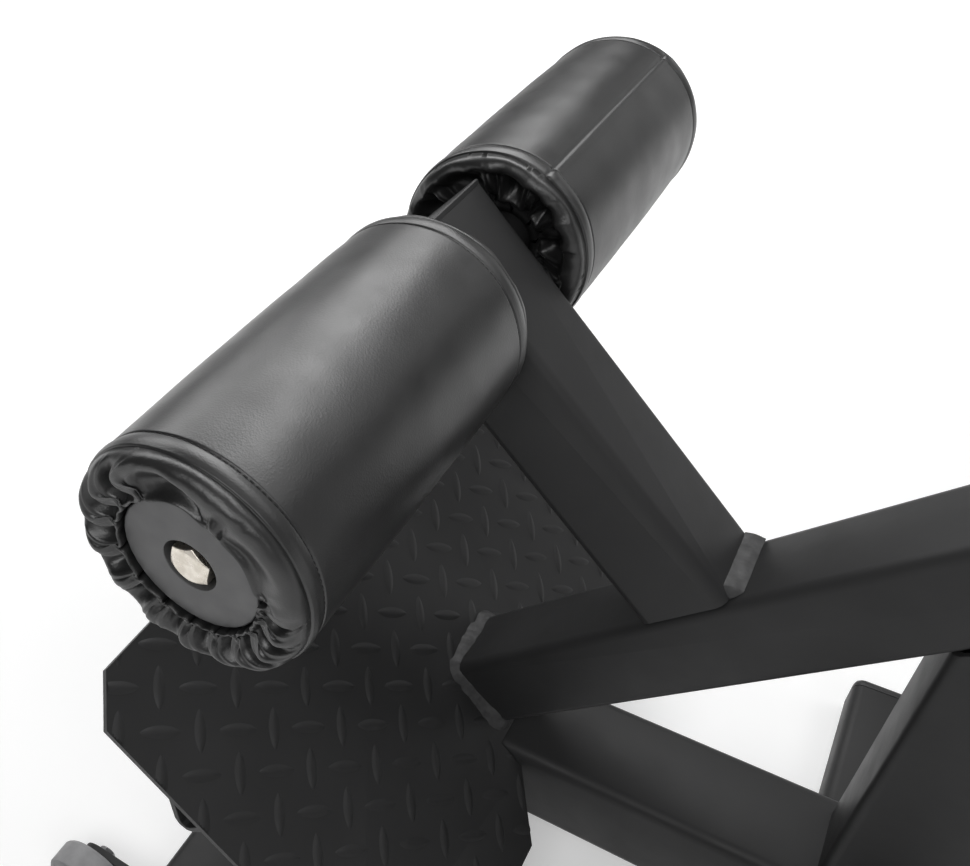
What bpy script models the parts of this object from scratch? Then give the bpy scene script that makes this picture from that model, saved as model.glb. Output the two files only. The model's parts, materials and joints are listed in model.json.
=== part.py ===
"""A 45 degree hyperextension bench with padded ankle rollers, a tread foot plate and sliding hip pads.

The frame is welded from square tube. +X runs from the foot end to the hip pads, +Y is the far side,
+Z is up. The bench stands on the plane Z = 0 and its footprint is centred on the origin.
"Near" pieces lie on the -Y side and "far" pieces on the +Y side. Sizes are in metres.
"""
import math

import bmesh
import bpy
from mathutils import Matrix, Vector

# General fits and fineness
GAP = 0.0003            # between pieces that touch
RUNNING_GAP = 0.00035   # radial, between a turning piece and its axle
ROUND_STEPS = 24        # facets around small turned pieces
HOLE_STEPS = 16         # facets around drilled holes
SHARP_ANGLE = math.radians(35)
HEAD_CHAMFER = 0.15     # of a bolt head's height
SIDES = {"near": -1, "far": 1}

# Main beam and the slope it lies on
BEAM_ANGLE = math.radians(45)
BEAM_SIZE = 0.060
BEAM_WALL = 0.003
BEAM_CORNER = 0.007
BEAM_TOP = 0.420        # upper end, measured up the beam from the front face of the roller post
BEAM_RISE = 0.2169      # height of the post's front foot above the base tube

# Base tube and cross feet
BASE_SIZE = 0.080
BASE_WALL = 0.003
BASE_CORNER = 0.009
BASE_REAR = -0.318
BASE_FRONT = 0.600
CROSS_WIDTH = 0.080
CROSS_HEIGHT = 0.040
CROSS_WALL = 0.003
CROSS_CORNER = 0.008
CROSS_LENGTH = 0.440
REAR_CROSS_LENGTH = 0.470
MIDDLE_CROSS_X = 0.146
CAP_NOSE = 0.010
CAP_STEPS = 3
CAP_PLUG = 0.020
FOOT_PAD_THICKNESS = 0.004
FOOT_PAD_SIZE = (0.060, 0.050)
FOOT_PAD_INSET = 0.040  # from the end of the cross foot to the middle of its pad

# Column between base tube and beam
COLUMN_WIDTH = 0.060
COLUMN_LENGTH = 0.120
COLUMN_X = 0.104        # its rear face

# Foot plate and its support
PLATE_FACE = -0.2334    # tread face, measured along the beam
PLATE_THICKNESS = 0.005
PLATE_HALF_WIDTH = 0.247
PLATE_TOP = 0.190       # heights square to the beam's top face
PLATE_BOTTOM = -0.133
PLATE_CHAMFER = 0.025
NOTCH_FLARE = 0.040
BAR_PITCH = 0.0374
BAR_LENGTH = 0.026
BAR_RIDGE = 0.014
BAR_WIDTH = 0.0060
BAR_HEIGHT = 0.0013
BAR_TOP_ROW = 0.177
RIB_DEPTH = 0.024
RIB_WALL = 0.004
RIB_CORNER = 0.008
RIB_LOW = 0.077         # lower edge of the stiffening rib, square to the beam
RIB_HALF_LENGTH = 0.245
STRUT_DEPTH = 0.030
STRUT_WIDTH = 0.040
STRUT_WALL = 0.0025
STRUT_INSET = 0.085     # from the end of the rear cross foot to the middle of the strut

# Roller post
POST_SIZE = 0.060
POST_WALL = 0.003
POST_HEIGHT = 0.268
POST_CAP_THICKNESS = 0.003
WELD_LEG = 0.009
WELD_NEAR_END = -0.020  # the post's front weld stops short of the near corner
WELD_FAR_END = 0.030

# Ankle rollers
ROLLER_DROP = 0.038     # axle centre below the top of the post
ROLLER_RADIUS = 0.057
ROLLER_CROWN = 0.0012   # extra radius at mid length
ROLLER_START = 0.0343   # inner end of the padding, from the mid plane
ROLLER_END = 0.2503
ROLLER_FOLDS = 14       # gathers around each end
FOLD_DEPTH = 0.003
FOLD_RELIEF = 0.0018
ROLLER_RING_POINTS = 56
DISC_RADIUS = 0.034
DISC_THICKNESS = 0.003
DISC_HOLE_RADIUS = 0.0132
DISC_STEPS = 32
DISC_INSET = 0.0044     # disc face behind the fullest part of the gathers
INNER_MOUTH = 0.021     # radius that the gathers leave open at the inner end
INNER_MOUTH_DEPTH = 0.010
CORE_RADIUS = 0.016
AXLE_RADIUS = 0.010
AXLE_HALF_LENGTH = 0.2362
AXLE_HOLE_DEPTH = 0.028
BOLT_SHANK_RADIUS = 0.0059
BOLT_SHANK_LENGTH = 0.024
BOLT_FLATS = 0.0188
BOLT_HEAD = 0.0075
WASHER_RADIUS = 0.012
WASHER_THICKNESS = 0.0025

# Transport wheels on the rear cross foot
WHEEL_RADIUS = 0.031
WHEEL_WIDTH = 0.024
WHEEL_EDGE = 0.003
WHEEL_RECESS = 0.002
HUB_RADIUS = 0.010
RIM_RADIUS = 0.023
WHEEL_X = -0.369
WHEEL_Z = 0.033
WHEEL_BRACKET = 0.006
WHEEL_BOLT_RADIUS = 0.004
WHEEL_BOLT_FLATS = 0.013
WHEEL_BOLT_HEAD = 0.0055
WHEEL_NUT = 0.0065
BRACKET_EYE_RADIUS = 0.017

# Sliding carriage and its pull pin
CARRIAGE_SIZE = 0.050
CARRIAGE_WALL = 0.003
CARRIAGE_CORNER = 0.005
CARRIAGE_LOW = 0.160
CARRIAGE_HIGH = 0.620
COLLAR_DEPTH = 0.035
COLLAR_FLANGE = 0.006
PIN_POSITION = 0.360
PIN_RADIUS = 0.005
PIN_HOLE_RADIUS = 0.0053
PIN_HOLE_PITCH = 0.040
PIN_HOLES_BELOW = 3
PIN_HOLES_ABOVE = 2
PIN_TIP_CLEARANCE = 0.0006
PIN_TRAVEL = 0.010
HOUSING_RADIUS = 0.011
HOUSING_LENGTH = 0.024
HOUSING_BEAD = 0.003
KNOB_RADIUS = 0.017
KNOB_LENGTH = 0.030

# Hip pads
PAD_CENTRE = 0.580
PAD_LENGTH = 0.270
PAD_WIDTH = 0.170
PAD_THICKNESS = 0.070
PAD_CORNER = 0.045
PAD_SPACING = 0.230     # between the two pads' centres
PAD_RING_POINTS = 36
BOARD_THICKNESS = 0.012
BOARD_INSET = 0.010
SADDLE_LENGTH = 0.080
SADDLE_HEIGHT = 0.020
SADDLE_WALL = 0.004
SADDLE_HALF_WIDTH = 0.170

# Handles
HANDLE_RADIUS = 0.0125
HANDLE_POSITION = 0.590
HANDLE_HALF_SPAN = 0.230
HANDLE_REACH = 0.210
HANDLE_BEND = 0.060
GRIP_RADIUS = 0.017
GRIP_LENGTH = 0.120
GRIP_END = 0.004
GRIP_EDGE = 0.004

# Places that follow from the sizes above
CROSS_BOTTOM = FOOT_PAD_THICKNESS + GAP
CROSS_TOP = CROSS_BOTTOM + CROSS_HEIGHT
BASE_BOTTOM = CROSS_TOP + GAP
BASE_TOP = BASE_BOTTOM + BASE_SIZE
SLOPE_Z = BASE_TOP + BEAM_RISE
REAR_CROSS_X = BASE_REAR + CROSS_WIDTH / 2
FRONT_CROSS_X = BASE_FRONT - CROSS_WIDTH / 2
BEAM_BOTTOM = -BEAM_SIZE
BEAM_LINE = BEAM_BOTTOM / 2
POST_CENTRE = -POST_SIZE / 2
ROLLER_HEIGHT = POST_HEIGHT - ROLLER_DROP
PLATE_BACK = PLATE_FACE - PLATE_THICKNESS
RIB_FRONT = PLATE_BACK - GAP
RIB_BACK = RIB_FRONT - RIB_DEPTH
STRUT_Y = REAR_CROSS_LENGTH / 2 - STRUT_INSET
DISC_FACE = ROLLER_END - DISC_INSET
DISC_BACK = DISC_FACE - DISC_THICKNESS
CORE_START = POST_SIZE / 2 + 2 * GAP
CORE_END = AXLE_HALF_LENGTH - 0.0004
CARRIAGE_TOP = BEAM_LINE + CARRIAGE_SIZE / 2
CARRIAGE_BOTTOM = BEAM_LINE - CARRIAGE_SIZE / 2
SADDLE_BOTTOM = CARRIAGE_TOP + GAP
SADDLE_TOP = SADDLE_BOTTOM + SADDLE_HEIGHT
BOARD_BOTTOM = SADDLE_TOP + GAP
PAD_BOTTOM = BOARD_BOTTOM + BOARD_THICKNESS + GAP

# Colours as (red, green, blue), roughness, metallic
MATERIALS = {
    "powder_coat": ((0.022, 0.022, 0.023), 0.55, 0.0),
    "leatherette": ((0.018, 0.018, 0.019), 0.42, 0.0),
    "disc_steel": ((0.16, 0.16, 0.165), 0.45, 0.6),
    "zinc": ((0.62, 0.58, 0.50), 0.30, 1.0),
    "dark_washer": ((0.06, 0.045, 0.035), 0.50, 0.4),
    "black_plastic": ((0.015, 0.015, 0.015), 0.45, 0.0),
    "black_rubber": ((0.012, 0.012, 0.012), 0.75, 0.0),
    "wheel_plastic": ((0.28, 0.28, 0.27), 0.55, 0.0),
    "bright_steel": ((0.45, 0.45, 0.46), 0.30, 1.0),
    "plywood": ((0.42, 0.29, 0.16), 0.70, 0.0),
}


def clear_scene():
    """Remove whatever the file opened with."""
    for scene_object in list(bpy.data.objects):
        bpy.data.objects.remove(scene_object)


def new_collection(name):
    """Make a collection under the scene."""
    collection = bpy.data.collections.new(name)
    bpy.context.scene.collection.children.link(collection)
    return collection


def make_materials():
    """One Principled material for each finish."""
    for name, (colour, roughness, metallic) in MATERIALS.items():
        material = bpy.data.materials.new(name)
        material.use_nodes = True
        shader = material.node_tree.nodes["Principled BSDF"]
        shader.inputs["Base Color"].default_value = (*colour, 1.0)
        shader.inputs["Roughness"].default_value = roughness
        shader.inputs["Metallic"].default_value = metallic


def add_empty(name, parent=None, location=(0, 0, 0), rotation=(0, 0, 0)):
    """An axis or a frame that pieces hang from."""
    empty = bpy.data.objects.new(name, None)
    empty.empty_display_size = 0.05
    PARTS.objects.link(empty)
    empty.parent = parent
    empty.location = location
    empty.rotation_euler = rotation
    return empty


def add_piece(name, mesh, finish, parent, location=(0, 0, 0), rotation=(0, 0, 0)):
    """Link a mesh as a named sub-part."""
    piece = bpy.data.objects.new(name, mesh)
    mesh.name = name
    PARTS.objects.link(piece)
    mesh.materials.append(bpy.data.materials[finish])
    piece.parent = parent
    piece.location = location
    piece.rotation_euler = rotation
    return piece


def finish_mesh(name, bm):
    """Turn a bmesh into a smooth mesh with its hard edges kept."""
    bmesh.ops.recalc_face_normals(bm, faces=bm.faces)
    mesh = bpy.data.meshes.new(name)
    bm.to_mesh(mesh)
    bm.free()
    mesh.shade_smooth()
    mesh.set_sharp_from_angle(angle=SHARP_ANGLE)
    return mesh


def rounded_rectangle(width, height, radius, steps=3):
    """Corner arcs of a rectangle around the origin, as (u, v) points in turn."""
    points = []
    for corner, (su, sv) in enumerate(((1, 1), (-1, 1), (-1, -1), (1, -1))):
        centre = Vector((su * (width / 2 - radius), sv * (height / 2 - radius)))
        for step in range(steps + 1):
            angle = math.pi / 2 * (corner + step / steps)
            points.append(centre + radius * Vector((math.cos(angle), math.sin(angle))))
    return points


def circle(radius, centre=(0, 0), steps=ROUND_STEPS):
    """A round hole or outline as (u, v) points."""
    turns = [2 * math.pi * step / steps for step in range(steps)]
    return [Vector(centre) + radius * Vector((math.cos(a), math.sin(a))) for a in turns]


# Where an outline's u, v and depth directions go, for an extrusion along each axis
ALONG = {
    "X": Matrix(((0, 0, 1), (1, 0, 0), (0, 1, 0))),
    "Y": Matrix(((1, 0, 0), (0, 0, 1), (0, 1, 0))),
    "Z": Matrix.Identity(3),
}


def extrude_outline(name, loops, depth, axis):
    """Fill flat loops as a 2D curve, inner loops being holes, and extrude it about its middle."""
    curve = bpy.data.curves.new(name, "CURVE")
    curve.dimensions = "2D"
    curve.fill_mode = "BOTH"
    curve.extrude = depth / 2
    for loop in loops:
        spline = curve.splines.new("POLY")
        spline.points.add(len(loop) - 1)
        for point, (u, v) in zip(spline.points, loop):
            point.co = (u, v, 0, 1)
        spline.use_cyclic_u = True
    return mesh_from_curve(name, curve, ALONG[axis])


def mesh_from_curve(name, curve, turn=Matrix.Identity(3)):
    """Turn a curve into one closed mesh, with its caps welded on."""
    guide = bpy.data.objects.new(name + "_guide", curve)
    PARTS.objects.link(guide)
    evaluated = guide.evaluated_get(bpy.context.evaluated_depsgraph_get())
    rough = bpy.data.meshes.new_from_object(evaluated)
    bm = bmesh.new()
    bm.from_mesh(rough)
    bmesh.ops.remove_doubles(bm, verts=bm.verts, dist=0.000002)
    bmesh.ops.transform(bm, matrix=turn.to_4x4(), verts=bm.verts)
    bpy.data.objects.remove(guide)
    bpy.data.meshes.remove(rough)
    return finish_mesh(name, bm)


def tube_mesh(name, width, height, wall, corner, length, axis):
    """A length of rectangular tube about its own middle."""
    outer = rounded_rectangle(width, height, corner)
    inner = rounded_rectangle(width - 2 * wall, height - 2 * wall, max(corner - wall, wall / 4))
    return extrude_outline(name, (outer, inner), length, axis)


def loft(name, rings, closed=False):
    """Skin a row of rings with equal point counts, capped at its ends or joined back to its start."""
    bm = bmesh.new()
    rows = [[bm.verts.new(point) for point in ring] for ring in rings]
    pairs = list(zip(rows, rows[1:]))
    if closed:
        pairs.append((rows[-1], rows[0]))
    else:
        bm.faces.new(rows[0])
        bm.faces.new(rows[-1])
    for low, high in pairs:
        for index in range(len(low)):
            after = (index + 1) % len(low)
            bm.faces.new((low[index], low[after], high[after], high[index]))
    return finish_mesh(name, bm)


def section(width, height, radius, position, axis):
    """A rounded rectangle standing at a position along an axis, for a loft."""
    flat = rounded_rectangle(width, height, radius)
    return [ALONG[axis] @ Vector((u, v, position)) for u, v in flat]


def turned(name, profile, finish, parent, location=(0, 0, 0), rotation=(0, 0, 0), ring=False,
           steps=ROUND_STEPS):
    """Turn a profile of (radius, height) points about its object's Z axis with a Screw modifier.

    The points run down the outer side. A ring's profile closes on itself, any other ends on the axis.
    """
    count = len(profile)
    edges = [(index, index + 1) for index in range(count - 1)]
    if ring:
        edges.append((count - 1, 0))
    mesh = bpy.data.meshes.new(name)
    mesh.from_pydata([(radius, 0, height) for radius, height in profile], edges, [])
    piece = add_piece(name, mesh, finish, parent, location, rotation)
    screw = piece.modifiers.new("Turn", "SCREW")
    screw.axis = "Z"
    screw.angle = 2 * math.pi
    screw.steps = steps
    screw.render_steps = steps
    screw.use_merge_vertices = True
    screw.merge_threshold = 0.00001
    screw.use_smooth_shade = True
    return piece


def facing(side):
    """Rotation that points a turned piece's Z axis to the near or the far side."""
    return (-side * math.pi / 2, 0, 0)


def combine(piece, tool, operation):
    """Cut or join a piece by a tool, which stays as a wire guide."""
    PARTS.objects.unlink(tool)
    TOOLS.objects.link(tool)
    tool.hide_render = True
    tool.display_type = "WIRE"
    boolean = piece.modifiers.new(operation.title(), "BOOLEAN")
    boolean.operation = operation
    boolean.solver = "EXACT"
    boolean.object = tool


def rod_tool(name, radius, length, parent, location):
    """A cylinder across the bench, to drill with."""
    bm = bmesh.new()
    bmesh.ops.create_cone(bm, cap_ends=True, segments=HOLE_STEPS, radius1=radius, radius2=radius,
                          depth=length)
    across = (math.pi / 2, 0, 0)
    return add_piece(name, finish_mesh(name, bm), "powder_coat", parent, location, across)


def end_cap(name, size, wall, corner, axis, sign, parent, location):
    """A plastic plug with a rounded nose, pushed into the end of a tube of that size at the location."""
    width, height = size
    clearance = 2 * (wall + GAP)
    rings = [
        section(width - clearance, height - clearance, corner - wall, -sign * CAP_PLUG, axis),
        section(width - clearance, height - clearance, corner - wall, sign * GAP, axis),
        section(width, height, corner, sign * GAP, axis),
    ]
    rounding = min(CAP_NOSE, 0.8 * corner)
    for step in range(CAP_STEPS + 1):
        angle = math.pi / 2 * step / CAP_STEPS
        inset = rounding * (1 - math.cos(angle))
        position = CAP_NOSE - rounding * (1 - math.sin(angle))
        rings.append(section(width - 2 * inset, height - 2 * inset, corner - inset, sign * position, axis))
    return add_piece(name, loft(name, rings), "black_plastic", parent, location)


def hex_bolt(name, flats, head, shank_radius, shank_length, parent, location, rotation):
    """A hexagon head bolt: head outward from its seat at Z = 0, shank inward."""
    bm = bmesh.new()
    corner_radius = flats / math.sqrt(3)
    bmesh.ops.create_cone(bm, cap_ends=True, segments=6, radius1=corner_radius, radius2=corner_radius,
                          depth=head)
    bmesh.ops.translate(bm, vec=(0, 0, head / 2), verts=bm.verts)
    mesh = finish_mesh(name, bm)
    bolt = add_piece(name, mesh, "zinc", parent, location, rotation)
    chamfer = HEAD_CHAMFER * head
    crown = [(0, head + chamfer), (flats / 2 - chamfer, head + chamfer), (flats / 2 - chamfer, head),
             (corner_radius + 4 * chamfer, head - 3 * chamfer), (corner_radius + 4 * chamfer, -chamfer),
             (0, -chamfer)]
    envelope = turned(name + "_envelope", crown, "zinc", parent, location, rotation)
    combine(bolt, envelope, "INTERSECT")
    shank = [(0, head / 2), (shank_radius, head / 2), (shank_radius, chamfer - shank_length),
             (shank_radius - chamfer, -shank_length), (0, -shank_length)]
    core = turned(name + "_shank", shank, "zinc", parent, location, rotation)
    combine(bolt, core, "UNION")
    return bolt


def build_base():
    """The long base tube with its caps."""
    middle = (BASE_REAR + BASE_FRONT) / 2
    level = BASE_BOTTOM + BASE_SIZE / 2
    mesh = tube_mesh("base_tube", BASE_SIZE, BASE_SIZE, BASE_WALL, BASE_CORNER,
                     BASE_FRONT - BASE_REAR, "X")
    add_piece("base_tube", mesh, "powder_coat", BENCH, (middle, 0, level))
    size = (BASE_SIZE, BASE_SIZE)
    end_cap("base_rear_cap", size, BASE_WALL, BASE_CORNER, "X", -1, BENCH, (BASE_REAR, 0, level))
    end_cap("base_front_cap", size, BASE_WALL, BASE_CORNER, "X", 1, BENCH, (BASE_FRONT, 0, level))


def build_cross_feet():
    """Three flat cross tubes, the front two capped, each on a pair of rubber pads."""
    level = CROSS_BOTTOM + CROSS_HEIGHT / 2
    places = {"rear": REAR_CROSS_X, "middle": MIDDLE_CROSS_X, "front": FRONT_CROSS_X}
    for place, x in places.items():
        length = REAR_CROSS_LENGTH if place == "rear" else CROSS_LENGTH
        name = place + "_cross_foot"
        mesh = tube_mesh(name, CROSS_WIDTH, CROSS_HEIGHT, CROSS_WALL, CROSS_CORNER, length, "Y")
        add_piece(name, mesh, "powder_coat", BENCH, (x, 0, level))
        for side, sign in SIDES.items():
            if place != "rear":
                end_cap(f"{place}_cross_cap_{side}", (CROSS_WIDTH, CROSS_HEIGHT), CROSS_WALL, CROSS_CORNER,
                        "Y", sign, BENCH, (x, sign * CROSS_LENGTH / 2, level))
            build_foot_pad(f"{place}_foot_pad_{side}", x, sign * (length / 2 - FOOT_PAD_INSET))


def build_foot_pad(name, x, y):
    """A thin rubber pad under a cross foot."""
    outline = rounded_rectangle(*FOOT_PAD_SIZE, 0.008)
    mesh = extrude_outline(name, (outline,), FOOT_PAD_THICKNESS, "Z")
    add_piece(name, mesh, "black_rubber", BENCH, (x, y, FOOT_PAD_THICKNESS / 2))


def bracket_outline():
    """The wheel bracket's side view: square over the cross foot, round about the wheel bolt."""
    steps = 12
    eye = Vector((WHEEL_X, WHEEL_Z))
    points = [Vector((REAR_CROSS_X + CROSS_WIDTH / 2 - GAP, CROSS_TOP))]
    for step in range(steps + 1):
        angle = math.pi / 2 + math.pi * step / steps
        points.append(eye + BRACKET_EYE_RADIUS * Vector((math.cos(angle), math.sin(angle))))
    points.append(Vector((REAR_CROSS_X - CROSS_WIDTH / 2, CROSS_BOTTOM)))
    points.append(Vector((REAR_CROSS_X + CROSS_WIDTH / 2 - GAP, CROSS_BOTTOM)))
    return points


def build_wheels():
    """Transport wheels on bolted brackets that close the rear cross foot's ends."""
    bracket_start = REAR_CROSS_LENGTH / 2 + GAP
    bracket_end = bracket_start + WHEEL_BRACKET
    wheel_middle = bracket_end + 4 * GAP + WHEEL_WIDTH / 2
    wheel_end = wheel_middle + WHEEL_WIDTH / 2
    bore = WHEEL_BOLT_RADIUS + RUNNING_GAP
    for side, sign in SIDES.items():
        name = "wheel_bracket_" + side
        hole = circle(bore, (WHEEL_X, WHEEL_Z))
        mesh = extrude_outline(name, (bracket_outline(), hole), WHEEL_BRACKET, "Y")
        add_piece(name, mesh, "powder_coat", BENCH, (0, sign * (bracket_start + WHEEL_BRACKET / 2), 0))
        half = WHEEL_WIDTH / 2
        profile = [
            (bore, half), (HUB_RADIUS, half), (HUB_RADIUS + WHEEL_RECESS, half - WHEEL_RECESS),
            (RIM_RADIUS - WHEEL_RECESS, half - WHEEL_RECESS), (RIM_RADIUS, half),
            (WHEEL_RADIUS - WHEEL_EDGE, half), (WHEEL_RADIUS, half - WHEEL_EDGE),
            (WHEEL_RADIUS, WHEEL_EDGE - half), (WHEEL_RADIUS - WHEEL_EDGE, -half), (bore, -half),
        ]
        turned("transport_wheel_" + side, profile, "wheel_plastic", BENCH,
               (WHEEL_X, sign * wheel_middle, WHEEL_Z), facing(sign), ring=True)
        shank = wheel_end - bracket_start + WHEEL_NUT + 5 * GAP
        hex_bolt("wheel_bolt_" + side, WHEEL_BOLT_FLATS, WHEEL_BOLT_HEAD, WHEEL_BOLT_RADIUS, shank, BENCH,
                 (WHEEL_X, sign * (bracket_start - GAP), WHEEL_Z), facing(-sign))
        name = "wheel_nut_" + side
        corners = circle(WHEEL_BOLT_FLATS / math.sqrt(3), steps=6)
        mesh = extrude_outline(name, (corners, circle(bore)), WHEEL_NUT, "Y")
        add_piece(name, mesh, "zinc", BENCH,
                  (WHEEL_X, sign * (wheel_end + 3 * GAP + WHEEL_NUT / 2), WHEEL_Z))


def upright(name, width, depth, wall, corner, place, cut):
    """An upright tube from its place (x, y, z) to a sloping cut, cut(x) being the height at x."""
    x, y, bottom = place
    mesh = tube_mesh(name, width, depth, wall, corner, 1, "Z")
    for vertex in mesh.vertices:
        if vertex.co.z > 0:
            vertex.co.z = cut(x + vertex.co.x) - bottom
        else:
            vertex.co.z = 0
    return add_piece(name, mesh, "powder_coat", BENCH, place)


def build_column():
    """The wide upright from the base tube to the underside of the beam."""
    def cut(x):
        return SLOPE_Z + (BEAM_BOTTOM - GAP + x * math.sin(BEAM_ANGLE)) / math.cos(BEAM_ANGLE)

    upright("column", COLUMN_LENGTH, COLUMN_WIDTH, BEAM_WALL, BEAM_CORNER,
            (COLUMN_X + COLUMN_LENGTH / 2, 0, BASE_TOP + GAP), cut)


def foot_weld_mesh(name):
    """The bead around the beam's foot: a fillet whose inner side lies within the beam's wall."""
    wide = BEAM_SIZE + 2 * WELD_LEG
    narrow = BEAM_SIZE - BEAM_WALL
    rings = [
        section(wide, wide, BEAM_CORNER + WELD_LEG, 0, "X"),
        section(BEAM_SIZE, BEAM_SIZE, BEAM_CORNER, WELD_LEG, "X"),
        section(narrow, narrow, BEAM_CORNER - BEAM_WALL / 2, WELD_LEG + BEAM_WALL / 2, "X"),
        section(narrow, narrow, BEAM_CORNER - BEAM_WALL / 2, 0, "X"),
    ]
    return loft(name, rings, closed=True)


def build_beam():
    """The sloping main beam with its foot weld and pin hole, and the collar in its mouth."""
    low = PLATE_FACE + GAP
    mesh = tube_mesh("main_beam", BEAM_SIZE, BEAM_SIZE, BEAM_WALL, BEAM_CORNER, BEAM_TOP - low, "X")
    beam = add_piece("main_beam", mesh, "powder_coat", SLOPE, ((BEAM_TOP + low) / 2, 0, BEAM_LINE))
    hole = rod_tool("beam_pin_hole", PIN_HOLE_RADIUS, BEAM_SIZE / 2, SLOPE,
                    (PIN_POSITION, -BEAM_SIZE / 2, BEAM_LINE))
    combine(beam, hole, "DIFFERENCE")
    weld = add_piece("beam_foot_weld", foot_weld_mesh("beam_foot_weld"), "powder_coat", SLOPE,
                     (low, 0, BEAM_LINE))
    combine(beam, weld, "UNION")
    inside = BEAM_SIZE - 2 * (BEAM_WALL + GAP)
    bore = CARRIAGE_SIZE + 2 * GAP
    rings = [
        section(inside, inside, BEAM_CORNER - BEAM_WALL, -COLLAR_DEPTH, "X"),
        section(inside, inside, BEAM_CORNER - BEAM_WALL, GAP, "X"),
        section(BEAM_SIZE, BEAM_SIZE, BEAM_CORNER, GAP, "X"),
        section(BEAM_SIZE, BEAM_SIZE, BEAM_CORNER, COLLAR_FLANGE, "X"),
        section(bore, bore, CARRIAGE_CORNER + GAP, COLLAR_FLANGE, "X"),
        section(bore, bore, CARRIAGE_CORNER + GAP, -COLLAR_DEPTH, "X"),
    ]
    mesh = loft("beam_collar", rings, closed=True)
    add_piece("beam_collar", mesh, "black_plastic", SLOPE, (BEAM_TOP, 0, BEAM_LINE))


def plate_outline(inset=0):
    """The foot plate's face: chamfered corners and a flared notch over the base tube."""
    notch_half = BASE_SIZE / 2 + GAP + inset
    base_top_on_back = (BASE_TOP - SLOPE_Z - PLATE_BACK * math.sin(BEAM_ANGLE)) / math.cos(BEAM_ANGLE)
    notch_top = base_top_on_back + 2 * GAP + inset
    flare_top = PLATE_BOTTOM + NOTCH_FLARE
    side = PLATE_HALF_WIDTH - inset
    top = PLATE_TOP - inset
    bottom = PLATE_BOTTOM + inset
    half = [
        (notch_half, notch_top),
        (notch_half, flare_top),
        (notch_half + flare_top - bottom, bottom),
        (side - PLATE_CHAMFER, bottom),
        (side, bottom + PLATE_CHAMFER),
        (side, top - PLATE_CHAMFER),
        (side - PLATE_CHAMFER, top),
    ]
    return half + [(-y, p) for y, p in reversed(half)]


def add_bar(bm, y, p, turn):
    """One raised tread bar: a pointed lens rising to a short ridge."""
    foot = [(-BAR_LENGTH / 2, 0), (0, -BAR_WIDTH / 2), (BAR_LENGTH / 2, 0), (0, BAR_WIDTH / 2)]
    rotate = Matrix.Rotation(turn, 2)

    def place(point, level):
        offset = rotate @ Vector(point)
        return bm.verts.new((level, y + offset.x, p + offset.y))

    tail, low_side, head, high_side = [place(point, PLATE_FACE - BAR_HEIGHT / 2) for point in foot]
    left = place((-BAR_RIDGE / 2, 0), PLATE_FACE + BAR_HEIGHT)
    right = place((BAR_RIDGE / 2, 0), PLATE_FACE + BAR_HEIGHT)
    bm.faces.new((tail, low_side, head, high_side))
    for corners in ((tail, low_side, left), (low_side, right, left), (low_side, head, right),
                    (head, high_side, right), (high_side, left, right), (high_side, tail, left)):
        bm.faces.new(corners)


def foot_clearance():
    """The square around the beam's foot and its bead where the plate has no bars."""
    size = BEAM_SIZE + 2 * WELD_LEG + 2 * GAP
    return [Vector((y, p + BEAM_LINE)) for y, p in rounded_rectangle(size, size, BEAM_CORNER + WELD_LEG)]


def build_foot_plate():
    """The tread plate: bars in two crossed directions on a square lattice, joined to its face."""
    mesh = extrude_outline("foot_plate", (plate_outline(),), PLATE_THICKNESS, "X")
    plate = add_piece("foot_plate", mesh, "powder_coat", SLOPE, (PLATE_FACE - PLATE_THICKNESS / 2, 0, 0))
    bm = bmesh.new()
    columns = math.ceil(PLATE_HALF_WIDTH / BAR_PITCH)
    rows = math.ceil((BAR_TOP_ROW - PLATE_BOTTOM) / BAR_PITCH) + 1
    for shift, turn in ((0.5, math.pi / 4), (0.0, -math.pi / 4)):
        for column in range(-columns, columns + 1):
            for row in range(rows):
                add_bar(bm, (column + shift) * BAR_PITCH, BAR_TOP_ROW - (row + shift) * BAR_PITCH, turn)
    bars = add_piece("tread_bars", finish_mesh("tread_bars", bm), "powder_coat", SLOPE)
    for name, outline, operation in (("tread_trim", plate_outline(GAP), "INTERSECT"),
                                     ("foot_clearance", foot_clearance(), "DIFFERENCE")):
        cutter = extrude_outline(name, (outline,), 4 * PLATE_THICKNESS, "X")
        combine(bars, add_piece(name, cutter, "powder_coat", SLOPE, (PLATE_FACE, 0, 0)), operation)
    mesh.shade_flat()
    bars.data.shade_flat()
    combine(plate, bars, "UNION")


def corner_arc(centre, radius, start, end, steps=3):
    """Points along an arc, angles in degrees."""
    points = []
    for step in range(steps + 1):
        angle = math.radians(start + (end - start) * step / steps)
        points.append(Vector(centre) + radius * Vector((math.cos(angle), math.sin(angle))))
    return points


def rib_outline():
    """The stiffening rib's folded section: a leg square to the plate and a leg standing upright."""
    slope = math.degrees(BEAM_ANGLE)

    def leg_end(radius, centre, front):
        """Where the upright leg, tangent to the corner's arc, meets the plate's back."""
        touch = Vector(centre) + radius * Vector((-math.cos(BEAM_ANGLE), math.sin(BEAM_ANGLE)))
        run = front - touch.x
        return touch + Vector((run, run * math.tan(BEAM_ANGLE)))

    centre = (RIB_BACK + RIB_CORNER, RIB_LOW + RIB_CORNER)
    inner_radius = RIB_CORNER - RIB_WALL
    outer = [Vector((RIB_FRONT, RIB_LOW))] + corner_arc(centre, RIB_CORNER, 270, 180 - slope)
    outer.append(leg_end(RIB_CORNER, centre, RIB_FRONT))
    inner = [leg_end(inner_radius, centre, RIB_FRONT)]
    inner += corner_arc(centre, inner_radius, 180 - slope, 270)
    inner.append(Vector((RIB_FRONT, RIB_LOW + RIB_WALL)))
    return outer + inner


def rib_leg_x():
    """How far back the rib's upright leg stands."""
    return (RIB_BACK + RIB_CORNER - RIB_LOW - RIB_CORNER) * math.cos(BEAM_ANGLE) - RIB_CORNER


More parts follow.
